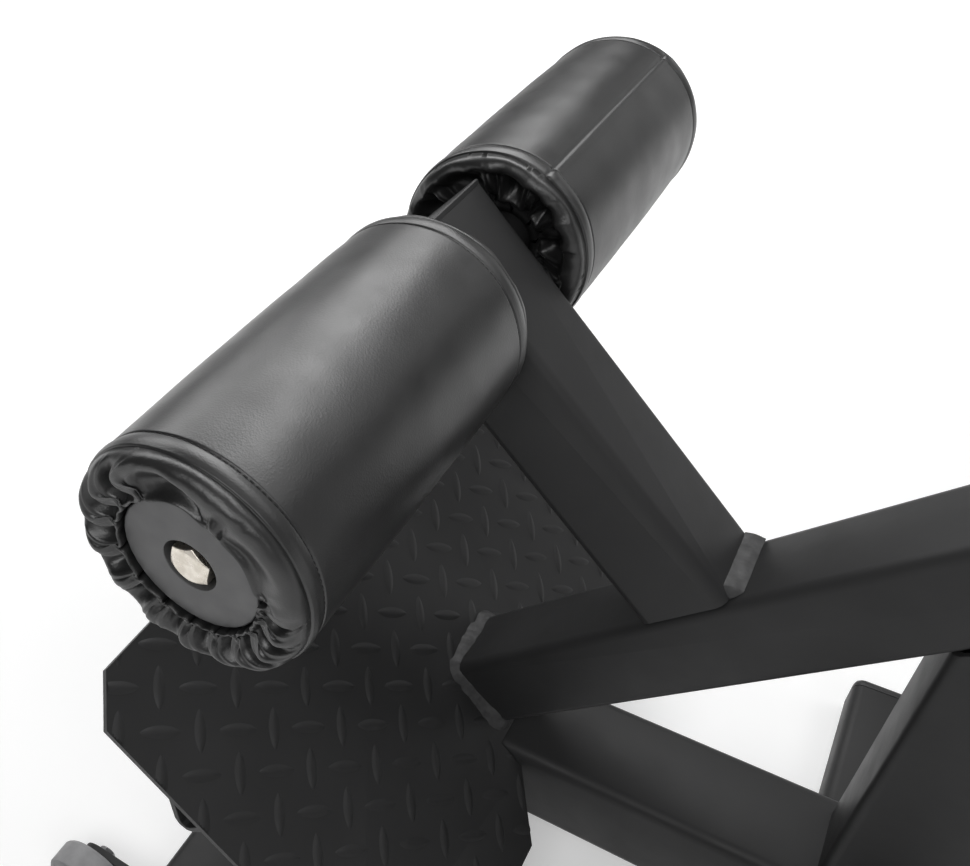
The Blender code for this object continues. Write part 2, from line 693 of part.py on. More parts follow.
def build_plate_support():
    """A folded rib behind the foot plate, and two struts from the rear cross foot to the plate."""
    mesh = extrude_outline("plate_rib", (rib_outline(),), 2 * RIB_HALF_LENGTH, "Y")
    add_piece("plate_rib", mesh, "powder_coat", SLOPE)
    x = rib_leg_x() - GAP - STRUT_DEPTH / 2

    def cut(x):
        return SLOPE_Z + (PLATE_BACK - GAP - x * math.cos(BEAM_ANGLE)) / math.sin(BEAM_ANGLE)

    for side, sign in SIDES.items():
        upright("plate_strut_" + side, STRUT_DEPTH, STRUT_WIDTH, STRUT_WALL, 2 * STRUT_WALL,
                (x, sign * STRUT_Y, CROSS_TOP + GAP), cut)


def build_post():
    """The roller post on the beam, drilled for the axle, with its cap and the bead at its front foot."""
    height = POST_HEIGHT - POST_CAP_THICKNESS - 2 * GAP
    mesh = tube_mesh("roller_post", POST_SIZE, POST_SIZE, POST_WALL, BEAM_CORNER, height, "Z")
    post = add_piece("roller_post", mesh, "powder_coat", SLOPE, (POST_CENTRE, 0, GAP + height / 2))
    hole = rod_tool("post_axle_hole", AXLE_RADIUS + GAP, 2 * POST_SIZE, SLOPE,
                    (POST_CENTRE, 0, ROLLER_HEIGHT))
    combine(post, hole, "DIFFERENCE")
    sunk = POST_WALL / 2
    fillet = [(-sunk, GAP), (WELD_LEG, GAP), (-sunk, GAP + WELD_LEG + sunk)]
    mesh = extrude_outline("post_weld", (fillet,), WELD_FAR_END - WELD_NEAR_END, "Y")
    weld = add_piece("post_weld", mesh, "powder_coat", SLOPE, (0, (WELD_FAR_END + WELD_NEAR_END) / 2, 0))
    combine(post, weld, "UNION")
    plug = POST_SIZE - 2 * (POST_WALL + GAP)
    rings = [
        section(plug, plug, BEAM_CORNER - POST_WALL, -5 * POST_CAP_THICKNESS, "Z"),
        section(plug, plug, BEAM_CORNER - POST_WALL, 0, "Z"),
        section(POST_SIZE, POST_SIZE, BEAM_CORNER, 0, "Z"),
        section(POST_SIZE, POST_SIZE, BEAM_CORNER, 0.7 * POST_CAP_THICKNESS, "Z"),
        section(POST_SIZE - POST_CAP_THICKNESS / 2, POST_SIZE - POST_CAP_THICKNESS / 2,
                BEAM_CORNER - POST_CAP_THICKNESS / 4, POST_CAP_THICKNESS, "Z"),
    ]
    add_piece("post_cap", loft("post_cap", rings), "black_plastic", SLOPE,
              (POST_CENTRE, 0, POST_HEIGHT - POST_CAP_THICKNESS))


def roller_end(mouth, depth):
    """Rings over one end of the padding, from its bore to its side.

    Each is (radius, distance in from the end, fold depth along the axis, fold relief across it).
    """
    width = ROLLER_RADIUS - mouth
    return [
        (CORE_RADIUS + GAP, depth, 0, 0),
        (mouth, depth, 0, 0),
        (mouth, 0.45 * depth, 0.5 * FOLD_DEPTH, 0),
        (mouth + 0.20 * width, 0.0010, FOLD_DEPTH, FOLD_RELIEF),
        (mouth + 0.52 * width, 0.0006, 0.8 * FOLD_DEPTH, FOLD_RELIEF),
        (mouth + 0.80 * width, 0.0026, 0.4 * FOLD_DEPTH, 0.3 * FOLD_RELIEF),
        (ROLLER_RADIUS - 0.0010, 0.0062, 0, 0),
        (ROLLER_RADIUS, 0.0080, 0, 0),
    ]


def roller_rings():
    """All rings of the padding, as (radius, place on the axis, fold depth along, fold relief)."""
    outer = roller_end(DISC_RADIUS + 3 * GAP, DISC_INSET + DISC_THICKNESS + GAP)
    inner = roller_end(INNER_MOUTH, INNER_MOUTH_DEPTH)
    rings = [(radius, ROLLER_END - inward, -along, across) for radius, inward, along, across in outer]
    rings.append((ROLLER_RADIUS + ROLLER_CROWN, (ROLLER_START + ROLLER_END) / 2, 0, 0))
    for radius, inward, along, across in reversed(inner):
        rings.append((radius, ROLLER_START + inward, along, across))
    return rings


def roller_pad_mesh(name, sign):
    """Skin the roller's rings about the Y axis."""
    rings = []
    for radius, position, along, around in roller_rings():
        ring = []
        for index in range(ROLLER_RING_POINTS):
            angle = 2 * math.pi * index / ROLLER_RING_POINTS
            fold = math.cos(ROLLER_FOLDS * angle)
            r = radius + around * fold
            y = sign * (position + along * (1 - fold) / 2)
            ring.append(Vector((r * math.cos(angle), y, r * math.sin(angle))))
        rings.append(ring)
    return loft(name, rings, closed=True)


def build_rollers():
    """Axle, bolts and the two ankle rollers that turn on it."""
    place = (POST_CENTRE, 0, ROLLER_HEIGHT)
    bolt_hole = BOLT_SHANK_RADIUS + GAP
    bottom = AXLE_HALF_LENGTH - AXLE_HOLE_DEPTH
    profile = [(0, bottom), (bolt_hole, bottom), (bolt_hole, AXLE_HALF_LENGTH),
               (AXLE_RADIUS, AXLE_HALF_LENGTH), (AXLE_RADIUS, -AXLE_HALF_LENGTH),
               (bolt_hole, -AXLE_HALF_LENGTH), (bolt_hole, -bottom), (0, -bottom)]
    turned("roller_axle", profile, "bright_steel", SLOPE, place, facing(1))
    washer_start = AXLE_HALF_LENGTH + GAP
    washer_end = washer_start + WASHER_THICKNESS
    bore = AXLE_RADIUS + RUNNING_GAP
    for side, sign in SIDES.items():
        axis = add_empty(side + "_roller_axis", SLOPE, place)
        washer = [(bolt_hole, washer_end), (WASHER_RADIUS, washer_end), (WASHER_RADIUS, washer_start),
                  (bolt_hole, washer_start)]
        washer = [(radius, height - washer_start) for radius, height in washer]
        seat = Vector(place) + Vector((0, sign * washer_start, 0))
        turned("axle_washer_" + side, washer, "dark_washer", SLOPE, seat, facing(sign), ring=True)
        hex_bolt("axle_bolt_" + side, BOLT_FLATS, BOLT_HEAD, BOLT_SHANK_RADIUS, BOLT_SHANK_LENGTH, SLOPE,
                 seat + Vector((0, sign * (WASHER_THICKNESS + GAP), 0)), facing(sign))
        core = [(bore, CORE_END), (CORE_RADIUS, CORE_END), (CORE_RADIUS, CORE_START), (bore, CORE_START)]
        turned("roller_core_" + side, core, "black_plastic", axis, rotation=facing(sign), ring=True)
        collar_end = CORE_END + GAP
        disc = [(DISC_HOLE_RADIUS, DISC_FACE), (DISC_RADIUS - 0.0006, DISC_FACE),
                (DISC_RADIUS, DISC_FACE - 0.0006), (DISC_RADIUS, DISC_BACK), (CORE_RADIUS, DISC_BACK),
                (CORE_RADIUS, collar_end), (DISC_HOLE_RADIUS, collar_end)]
        turned("roller_outer_disc_" + side, disc, "disc_steel", axis, rotation=facing(sign), ring=True,
               steps=DISC_STEPS)
        name = "ankle_roller_" + side
        add_piece(name, roller_pad_mesh(name, sign), "leatherette", axis)


def build_carriage():
    """The tube that slides in the beam, drilled for the pull pin, with its end cap."""
    axis = add_empty("carriage_axis", SLOPE, (0, 0, BEAM_LINE))
    length = CARRIAGE_HIGH - CARRIAGE_LOW
    mesh = tube_mesh("carriage_tube", CARRIAGE_SIZE, CARRIAGE_SIZE, CARRIAGE_WALL, CARRIAGE_CORNER,
                     length, "X")
    tube = add_piece("carriage_tube", mesh, "bright_steel", axis,
                     ((CARRIAGE_HIGH + CARRIAGE_LOW) / 2, 0, 0))
    for index in range(-PIN_HOLES_BELOW, PIN_HOLES_ABOVE + 1):
        hole = rod_tool(f"carriage_hole_{index + PIN_HOLES_BELOW}", PIN_HOLE_RADIUS, CARRIAGE_SIZE / 2, axis,
                        (PIN_POSITION + index * PIN_HOLE_PITCH, -CARRIAGE_SIZE / 2, 0))
        combine(tube, hole, "DIFFERENCE")
    end_cap("carriage_cap", (CARRIAGE_SIZE, CARRIAGE_SIZE), CARRIAGE_WALL, CARRIAGE_CORNER, "X", 1, axis,
            (CARRIAGE_HIGH, 0, 0))
    return axis


def build_pull_pin():
    """A spring pin in a housing on the beam's near side, with its knob."""
    axis = add_empty("pull_pin_axis", SLOPE, (PIN_POSITION, 0, BEAM_LINE))
    outward = facing(-1)
    start = BEAM_SIZE / 2 + GAP
    end = start + HOUSING_LENGTH
    bore = PIN_RADIUS + RUNNING_GAP
    edge = 0.2 * HOUSING_RADIUS
    housing = [(bore, end), (HOUSING_RADIUS - edge, end), (HOUSING_RADIUS, end - edge),
               (HOUSING_RADIUS, start + HOUSING_BEAD), (HOUSING_RADIUS + HOUSING_BEAD, start), (bore, start)]
    turned("pin_housing", housing, "bright_steel", SLOPE, (PIN_POSITION, 0, BEAM_LINE), outward, ring=True)
    tip = CARRIAGE_SIZE / 2 + PIN_TIP_CLEARANCE
    knob_start = end + GAP
    pin_end = knob_start + 0.6 * KNOB_LENGTH
    bevel = 0.2 * PIN_RADIUS
    pin = [(0, pin_end), (PIN_RADIUS, pin_end), (PIN_RADIUS, tip + bevel), (PIN_RADIUS - bevel, tip),
           (0, tip)]
    turned("pull_pin", pin, "bright_steel", axis, rotation=outward)
    knob_end = knob_start + KNOB_LENGTH
    shape = ((0, 0), (0.60, 0.03), (0.90, 0.13), (1.00, 0.33), (0.90, 0.50), (0.55, 0.67), (0.55, 1.00))
    knob = [(radius * KNOB_RADIUS, knob_end - depth * KNOB_LENGTH) for radius, depth in shape]
    knob += [(bore, knob_start), (bore, pin_end + GAP), (0, pin_end + GAP)]
    turned("pull_knob", knob, "black_plastic", axis, rotation=outward)


def hip_pad_mesh(name):
    """A cushion: flat back, sides drawn in to the board, fullest above the middle, crowned face."""
    layers = [
        (0.012, 0.0), (0.004, 0.08), (0.001, 0.30), (0.0, 0.55), (0.0015, 0.72), (0.006, 0.84),
        (0.016, 0.92), (0.032, 0.965), (0.055, 0.985), (0.072, 1.0),
    ]
    rings = []
    steps = PAD_RING_POINTS // 4 - 1
    for inset, share in layers:
        width = PAD_LENGTH - 2 * inset
        height = PAD_WIDTH - 2 * inset
        radius = min(max(PAD_CORNER - inset, 0.3 * height), 0.49 * height)
        flat = rounded_rectangle(width, height, radius, steps)
        rings.append([Vector((u, v, share * PAD_THICKNESS)) for u, v in flat])
    return loft(name, rings)


def saddle_outline():
    """A folded channel with rounded upper corners, open below."""
    half = SADDLE_LENGTH / 2
    radius = 1.5 * SADDLE_WALL
    inside = half - SADDLE_WALL
    right = corner_arc((half - radius, SADDLE_HEIGHT - radius), radius, 0, 90)
    left = corner_arc((radius - half, SADDLE_HEIGHT - radius), radius, 90, 180)
    ceiling = SADDLE_HEIGHT - SADDLE_WALL
    return [(half, 0)] + right + left + [(-half, 0), (-inside, 0), (-inside, ceiling), (inside, ceiling),
                                         (inside, 0)]


def build_hip_pads(axis):
    """Saddle channel, boards and cushions on the carriage."""
    def level(p):
        return p - BEAM_LINE

    mesh = extrude_outline("pad_saddle", (saddle_outline(),), 2 * SADDLE_HALF_WIDTH, "Y")
    add_piece("pad_saddle", mesh, "powder_coat", axis, (PAD_CENTRE, 0, level(SADDLE_BOTTOM)))
    for side, sign in SIDES.items():
        y = sign * PAD_SPACING / 2
        outline = rounded_rectangle(PAD_LENGTH - 2 * BOARD_INSET, PAD_WIDTH - 2 * BOARD_INSET,
                                    PAD_CORNER - BOARD_INSET, 6)
        mesh = extrude_outline("pad_board_" + side, (outline,), BOARD_THICKNESS, "Z")
        add_piece("pad_board_" + side, mesh, "plywood", axis,
                  (PAD_CENTRE, y, level(BOARD_BOTTOM + BOARD_THICKNESS / 2)))
        name = "hip_pad_" + side
        add_piece(name, hip_pad_mesh(name), "leatherette", axis, (PAD_CENTRE, y, level(PAD_BOTTOM)))


def handle_path():
    """Points of the handle bar: across under the carriage, then up the slope on both sides."""
    steps = 6
    corner = Vector((HANDLE_BEND, HANDLE_HALF_SPAN - HANDLE_BEND))
    half = [Vector((0, 0.5 * corner.y))]
    for step in range(steps + 1):
        angle = math.pi / 2 * step / steps
        half.append(corner + HANDLE_BEND * Vector((-math.cos(angle), math.sin(angle))))
    half.append(Vector((HANDLE_REACH - GRIP_END - GAP, HANDLE_HALF_SPAN)))
    return [Vector((x, -y)) for x, y in reversed(half)] + half


def build_handles(axis):
    """A bent bar under the carriage with a grip on each end."""
    curve = bpy.data.curves.new("handle_bar", "CURVE")
    curve.dimensions = "3D"
    curve.bevel_depth = HANDLE_RADIUS
    curve.bevel_resolution = 3
    curve.use_fill_caps = True
    path = handle_path()
    spline = curve.splines.new("POLY")
    spline.points.add(len(path) - 1)
    for point, (x, y) in zip(spline.points, path):
        point.co = (x, y, 0, 1)
    level = CARRIAGE_BOTTOM - GAP - HANDLE_RADIUS - BEAM_LINE
    place = Vector((HANDLE_POSITION, 0, level))
    add_piece("handle_bar", mesh_from_curve("handle_bar", curve), "powder_coat", axis, place)
    bore = HANDLE_RADIUS + GAP
    end = HANDLE_REACH
    start = end - GRIP_LENGTH
    profile = [(0, end), (GRIP_RADIUS - GRIP_EDGE, end), (GRIP_RADIUS, end - GRIP_EDGE),
               (GRIP_RADIUS, start + GRIP_EDGE / 2), (GRIP_RADIUS - GRIP_EDGE / 2, start), (bore, start),
               (bore, end - GRIP_END), (0, end - GRIP_END)]
    for side, sign in SIDES.items():
        turned("handle_grip_" + side, profile, "black_rubber", axis,
               place + Vector((0, sign * HANDLE_HALF_SPAN, 0)), (0, math.pi / 2, 0))


def centre_on_floor():
    """Shift the bench so that its footprint's middle lies on the origin."""
    bpy.context.view_layer.update()
    depsgraph = bpy.context.evaluated_depsgraph_get()
    low = Vector((math.inf, math.inf, math.inf))
    high = -low
    for piece in PARTS.objects:
        if piece.type != "MESH":
            continue
        evaluated = piece.evaluated_get(depsgraph)
        for vertex in evaluated.data.vertices:
            point = evaluated.matrix_world @ vertex.co
            low = Vector(map(min, low, point))
            high = Vector(map(max, high, point))
    middle = (low + high) / 2
    BENCH.location = (-middle.x, -middle.y, -low.z)
    bpy.context.view_layer.update()


clear_scene()
PARTS = new_collection("hyperextension_bench")
TOOLS = new_collection("cutters")
make_materials()
BENCH = add_empty("bench")
SLOPE = add_empty("slope", BENCH, (0, 0, SLOPE_Z), (0, -BEAM_ANGLE, 0))
build_base()
build_cross_feet()
build_wheels()
build_column()
build_beam()
build_foot_plate()
build_plate_support()
build_post()
build_rollers()
CARRIAGE = build_carriage()
build_pull_pin()
build_hip_pads(CARRIAGE)
build_handles(CARRIAGE)
centre_on_floor()
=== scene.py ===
"""Looks of the hyperextension bench: painted steel, gathered leatherette rollers, light and camera."""
import json
import math
from collections import namedtuple

import bmesh
import bpy
from mathutils import Matrix, Vector, noise
from mathutils.bvhtree import BVHTree

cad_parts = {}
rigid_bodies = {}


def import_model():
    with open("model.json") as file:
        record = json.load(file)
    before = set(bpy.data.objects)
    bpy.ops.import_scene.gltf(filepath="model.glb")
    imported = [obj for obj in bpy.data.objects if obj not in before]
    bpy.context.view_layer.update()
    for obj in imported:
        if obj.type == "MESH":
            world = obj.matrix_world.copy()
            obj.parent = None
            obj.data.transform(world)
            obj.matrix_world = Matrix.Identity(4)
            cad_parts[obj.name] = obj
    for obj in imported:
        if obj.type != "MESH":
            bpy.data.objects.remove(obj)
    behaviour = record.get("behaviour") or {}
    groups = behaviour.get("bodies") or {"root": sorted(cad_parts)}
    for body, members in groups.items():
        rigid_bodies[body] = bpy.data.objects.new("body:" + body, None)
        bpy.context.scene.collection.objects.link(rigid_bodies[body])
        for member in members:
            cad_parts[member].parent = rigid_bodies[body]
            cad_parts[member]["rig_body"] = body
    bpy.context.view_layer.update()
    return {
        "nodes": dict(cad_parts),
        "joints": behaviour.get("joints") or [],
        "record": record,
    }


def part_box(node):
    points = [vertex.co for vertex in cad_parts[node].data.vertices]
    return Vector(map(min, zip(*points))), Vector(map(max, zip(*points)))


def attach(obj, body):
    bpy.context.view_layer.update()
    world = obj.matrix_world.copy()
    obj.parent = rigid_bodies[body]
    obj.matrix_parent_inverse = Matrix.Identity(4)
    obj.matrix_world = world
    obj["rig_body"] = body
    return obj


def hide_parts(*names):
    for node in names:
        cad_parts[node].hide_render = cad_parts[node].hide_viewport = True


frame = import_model()


# Places taken from the frame.
JOINTS = {joint["name"]: joint for joint in frame["joints"]}
BODY_OF = {node: piece["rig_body"] for node, piece in frame["nodes"].items()}
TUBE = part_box("roller_post")[1].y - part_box("roller_post")[0].y
UP_SLOPE = Vector(JOINTS["carriage_slide"]["axis"]).normalized()
ACROSS = Vector((0, 1, 0))
SQUARE = UP_SLOPE.cross(ACROSS)
SLOPE_TURN = Matrix((UP_SLOPE, ACROSS, SQUARE)).transposed().to_4x4()
ROLLER_AXIS = Vector(JOINTS["near_roller_spin"]["pos_m"])


def span(node, place=None):
    """Lowest and highest corner of a CAD node, along the axes of a place."""
    to_local = place.inverted() if place else Matrix()
    points = [to_local @ vertex.co for vertex in frame["nodes"][node].data.vertices]
    low = Vector([min(point[axis] for point in points) for axis in range(3)])
    high = Vector([max(point[axis] for point in points) for axis in range(3)])
    return low, high


# The slope's origin lies on the beam's top face, at the front face of the roller post.
SLOPE_ORIGIN = SLOPE_TURN @ Vector((span("post_cap", SLOPE_TURN)[1].x, 0,
                                    span("roller_post", SLOPE_TURN)[0].z))
SLOPE = Matrix.Translation(SLOPE_ORIGIN) @ SLOPE_TURN


# Materials.
MATERIALS = {}
NOISE_DETAIL = 3.0
ROUGHNESS_WINDOW = (0.3, 0.7)       # the part of the noise's range that is used
TINT_WINDOW = (0.35, 0.65)


def new_material(name, colour, roughness, metallic=0.0, specular=0.5):
    """A Principled material of one colour, kept by name."""
    material = bpy.data.materials.new(name)
    material.use_nodes = True
    shader = material.node_tree.nodes["Principled BSDF"]
    shader.inputs["Base Color"].default_value = (*colour, 1)
    shader.inputs["Roughness"].default_value = roughness
    shader.inputs["Metallic"].default_value = metallic
    shader.inputs["Specular IOR Level"].default_value = specular
    MATERIALS[name] = material
    return material


def add_node(material, kind, **values):
    """A new shader node with some of its sockets or settings filled in."""
    node = material.node_tree.nodes.new(kind)
    for key, value in values.items():
        if key in node.inputs:
            node.inputs[key].default_value = value
        else:
            setattr(node, key, value)
    return node


def join(material, start, output, end, socket):
    """Link a node's output to another node's socket."""
    material.node_tree.links.new(start.outputs[output], end.inputs[socket])


def object_coordinates(material):
    """The material's one node of object coordinates."""
    for node in material.node_tree.nodes:
        if node.type == "TEX_COORD":
            return node
    return add_node(material, "ShaderNodeTexCoord")


def texture(material, kind, scale, detail):
    """A texture in object coordinates, and the name of the output to use."""
    if kind == "noise":
        node = add_node(material, "ShaderNodeTexNoise", Scale=scale, Detail=detail)
        output = "Fac"
    else:
        node = add_node(material, "ShaderNodeTexVoronoi", Scale=scale)
        output = "Distance"
    join(material, object_coordinates(material), "Object", node, "Vector")
    return node, output


def vary_roughness(material, scale, low, high):
    """Drive the roughness by noise, between two values."""
    node, output = texture(material, "noise", scale, NOISE_DETAIL)
    level = add_node(material, "ShaderNodeMapRange")
    level.inputs["From Min"].default_value, level.inputs["From Max"].default_value = ROUGHNESS_WINDOW
    level.inputs["To Min"].default_value = low
    level.inputs["To Max"].default_value = high
    join(material, node, output, level, "Value")
    join(material, level, "Result", material.node_tree.nodes["Principled BSDF"], "Roughness")


def tint(material, scale, dark, light):
    """Drive the colour by noise, between two colours."""
    node, output = texture(material, "noise", scale, NOISE_DETAIL)
    ramp = add_node(material, "ShaderNodeValToRGB")
    for element, place, colour in zip(ramp.color_ramp.elements, TINT_WINDOW, (dark, light)):
        element.position = place
        element.color = (*colour, 1)
    join(material, node, output, ramp, "Fac")
    join(material, ramp, "Color", material.node_tree.nodes["Principled BSDF"], "Base Color")


def bump(material, layers):
    """Stack bump layers, each (texture kind, scale, height in metres, detail)."""
    previous = None
    for kind, scale, height, detail in layers:
        node, output = texture(material, kind, scale, detail)
        relief = add_node(material, "ShaderNodeBump", Strength=1.0, Distance=height)
        join(material, node, output, relief, "Height")
        if previous:
            join(material, previous, "Normal", relief, "Normal")
        previous = relief
    join(material, previous, "Normal", material.node_tree.nodes["Principled BSDF"], "Normal")


def grey(level):
    """A grey with a touch of blue."""
    return (level, level, level * 1.02)


# Each finish: colour, roughness, metallic and specular level of the plain shader, then the tint (scale,
# dark, light), the roughness (scale, low, high) and the bump layers (texture, scale, height in metres,
# detail).
FINISHES = {
    "powder_coat": (grey(0.024), 0.5, 0.0, 0.3, (9, grey(0.022), grey(0.027)), (35, 0.46, 0.56),
                    (("noise", 1500, 0.00004, 2), ("noise", 120, 0.00008, 2))),
    # The weld beads' coat: the same black powder coat painted lighter, a painted highlight for the light
    # the beads catch.
    "weld_coat_painted_highlight": (grey(0.036), 0.55, 0.0, 0.4, (160, grey(0.028), grey(0.050)), (300, 0.48, 0.62),
                  (("noise", 900, 0.00005, 3),)),
    "leatherette": (grey(0.0100), 0.38, 0.0, 0.7, (14, grey(0.0090), grey(0.0115)), (60, 0.35, 0.42),
                    (("voronoi", 1100, 0.000045, 1), ("noise", 3000, 0.000008, 2))),
    "disc_steel": (grey(0.085), 0.45, 0.0, 0.5, (40, grey(0.078), grey(0.094)), (90, 0.40, 0.52),
                   (("noise", 1400, 0.00003, 2),)),
    "zinc": ((0.75, 0.70, 0.62), 0.32, 1.0, 0.5, (220, (0.66, 0.61, 0.53), (0.82, 0.77, 0.69)),
             (500, 0.24, 0.42), (("noise", 1800, 0.00003, 3),)),
    "dark_washer": ((0.05, 0.038, 0.028), 0.5, 0.5, 0.5,
                    (300, (0.03, 0.024, 0.018), (0.075, 0.055, 0.04)), (400, 0.4, 0.65),
                    (("noise", 900, 0.00005, 3),)),
    "black_plastic": (grey(0.02), 0.45, 0.0, 0.5, (12, grey(0.017), grey(0.023)), (70, 0.40, 0.52),
                      (("voronoi", 1600, 0.00004, 1),)),
    "black_rubber": (grey(0.014), 0.75, 0.0, 0.5, (30, grey(0.011), grey(0.02)), (150, 0.65, 0.85),
                     (("noise", 700, 0.00010, 3),)),
    "wheel_plastic": (grey(0.28), 0.5, 0.0, 0.5, (60, grey(0.24), grey(0.31)), (200, 0.42, 0.6),
                      (("noise", 900, 0.00006, 3),)),
    "bright_steel": (grey(0.33), 0.36, 1.0, 0.5, (180, grey(0.28), grey(0.37)), (700, 0.30, 0.42),
                     (("noise", 2200, 0.00002, 2),)),
    "plywood": ((0.28, 0.18, 0.10), 0.6, 0.0, 0.5, (25, (0.24, 0.15, 0.085), (0.32, 0.215, 0.125)),
                (120, 0.5, 0.7), (("noise", 420, 0.00008, 4),)),
    "thread": (grey(0.006), 0.7, 0.0, 0.5, (900, grey(0.004), grey(0.008)), (1500, 0.5, 0.7),
               (("noise", 3500, 0.00005, 2),)),
}


def make_materials():
    """All the bench's materials."""
    for name, (colour, roughness, metallic, specular, tinting, roughening, layers) in FINISHES.items():
        material = new_material(name, colour, roughness, metallic, specular)
        tint(material, *tinting)
        vary_roughness(material, *roughening)
        bump(material, layers)


# Building blocks.
SHARP = math.radians(32)
STRAIGHT = math.radians(0.5)    # an edge that bends less than this is taken out
MERGE = 1e-6
PLAIN_EDGE = 0.0005             # rounding of a piece's edges


def show(name, mesh, body, slot, place=None, replaced=(), material=None, smooth=SHARP):
    """Put a finished mesh into the scene, riding on a body."""
    piece = bpy.data.objects.new(name, mesh)
    bpy.context.scene.collection.objects.link(piece)
    if place:
        piece.matrix_world = place
    mesh.materials.clear()
    mesh.materials.append(MATERIALS[material or slot])
    mesh.shade_smooth()
    if smooth:
        mesh.set_sharp_from_angle(angle=smooth)
    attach(piece, body)
    if replaced:
        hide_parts(*replaced)
    return piece


def soften(piece, width):
    """Round the sharp edges a little, so that they catch the light."""
    modifier = piece.modifiers.new("edge", "BEVEL")
    modifier.width = width
    modifier.segments = 2
    modifier.limit_method = "ANGLE"
    modifier.angle_limit = SHARP
    modifier.harden_normals = True


def to_mesh(name, bm):
    """Turn a bmesh into a mesh with its faces outward, and free it."""
    bmesh.ops.recalc_face_normals(bm, faces=bm.faces)
    mesh = bpy.data.meshes.new(name)
    bm.to_mesh(mesh)
    bm.free()
    return mesh


def tidy(bm):
    """Weld the mesh and take out edges that no longer bend."""
    bmesh.ops.remove_doubles(bm, verts=bm.verts, dist=MERGE)
    bmesh.ops.dissolve_degenerate(bm, dist=MERGE, edges=bm.edges)
    bmesh.ops.dissolve_limit(bm, angle_limit=STRAIGHT, verts=bm.verts, edges=bm.edges)


def refine(node, slot, edge, flatten=None, material=None):
    """A clean smooth copy of a CAD node that stands for it."""
    bm = bmesh.new()
    bm.from_mesh(frame["nodes"][node].data)
    tidy(bm)
    if flatten:
        for vertex in bm.verts:
            vertex.co = SLOPE @ flatten(SLOPE.inverted() @ vertex.co)
        tidy(bm)
    soften(show(node + "_finish", to_mesh(node, bm), BODY_OF[node], slot, replaced=(node,),
                material=material), edge)


def skin(bm, rows, closed_rows=True, closed_columns=False):
    """Join rows of points into a sheet of quads."""
    rings = [[bm.verts.new(point) for point in row] for row in rows]
    pairs = list(zip(rings, rings[1:]))
    if closed_columns:
        pairs.append((rings[-1], rings[0]))
    count = len(rings[0])
    for one, two in pairs:
        for index in range(count if closed_rows else count - 1):
            after = (index + 1) % count
            bm.faces.new((one[index], one[after], two[after], two[index]))
    return rings


# Welds and the foot plate.
POST_TOP = span("roller_post", SLOPE)[1].z
CAP_TOP = span("post_cap", SLOPE)[1].z
CAP_CHAMFER = 0.0015        # the cap's top face is smaller than the tube by this
TUBE_CORNER = 0.007
BEAM_HALF = TUBE / 2
BEAM_MIDDLE = -TUBE / 2                         # the beam's centre line, square to its top face
BEAM_END = span("main_beam", SLOPE)[0].x        # where the beam meets the plate

WELD_LEG = 0.009
WELD_SINK = 0.001           # how far the bead's root lies inside the metal
WELD_CROWN = 0.06           # these three are shares of the bead's size
RIPPLE_HEIGHT = 0.005
LUMP_HEIGHT = 0.10
LUMP_GRAIN = 90             # steps of noise to a metre of bead
RIPPLE_PITCH = 0.0031
RIPPLE_BOW = 0.0009         # how far a ripple runs ahead at the bead's middle
ARC_STEPS = 10
POST_WELD = (-0.024, 0.030)     # the post's front bead, across the beam
POST_WELD_STEPS = 110
BEAM_WELD_STEPS = 420

PLATE_LOW, PLATE_HIGH = span("foot_plate", SLOPE)
PLATE_CHAMFER = 0.025
BAR_HEIGHT = 0.0013
BAR_RISE = 0.88             # the painted bars are softer than the rolled ones
BAR_LENGTH = 0.027
BAR_WIDTH = 0.0078
BAR_TIP = 0.0002            # half the bar's width at its ends
BAR_SINK = 0.00002          # how far a bar's edge lies under the plate's face
BAR_STEPS, BAR_SIDES = 8, 4     # faces along and across half a bar
BAR_PITCH = 0.0374
BAR_TOP_ROW = 0.177
BAR_MARGIN = 0.0006         # bars stop this far from the plate's outline
PLATE_FRONT = PLATE_HIGH.x - BAR_HEIGHT


def on_tube(one, two):
    """Move a point that lies outside the square tube's rounded outline onto it."""
    flat = BEAM_HALF - TUBE_CORNER
    core_one, core_two = max(-flat, min(flat, one)), max(-flat, min(flat, two))
    off = math.hypot(one - core_one, two - core_two)
    if off > TUBE_CORNER:
        one = core_one + (one - core_one) * TUBE_CORNER / off
        two = core_two + (two - core_two) * TUBE_CORNER / off
    return one, two


def bare_beam(point):
    """Take the CAD's plain fillet off the beam's foot."""
    across, up = on_tube(point.y, point.z - BEAM_MIDDLE)
    return Vector((point.x, across, up + BEAM_MIDDLE))


def bare_post(point):
    """Take the CAD's plain fillet off the post's foot."""
    along, across = on_tube(point.x + BEAM_HALF, point.y)
    return Vector((along - BEAM_HALF, across, point.z))


def bare_plate(point):
    """Press the CAD's tread bars flat."""
    return Vector((min(point.x, PLATE_FRONT), point.y, point.z))


def bare_cap(point):
    """The post cap, painted over with the post: flush with its sides and closed down onto it."""
    if point.z > CAP_TOP - CAP_CHAMFER:
        sides = TUBE / (TUBE - CAP_CHAMFER)
        point = Vector((-BEAM_HALF + (point.x + BEAM_HALF) * sides, point.y * sides, point.z))
    elif POST_TOP < point.z < POST_TOP + CAP_CHAMFER / 2:
        point.z = POST_TOP
    return point


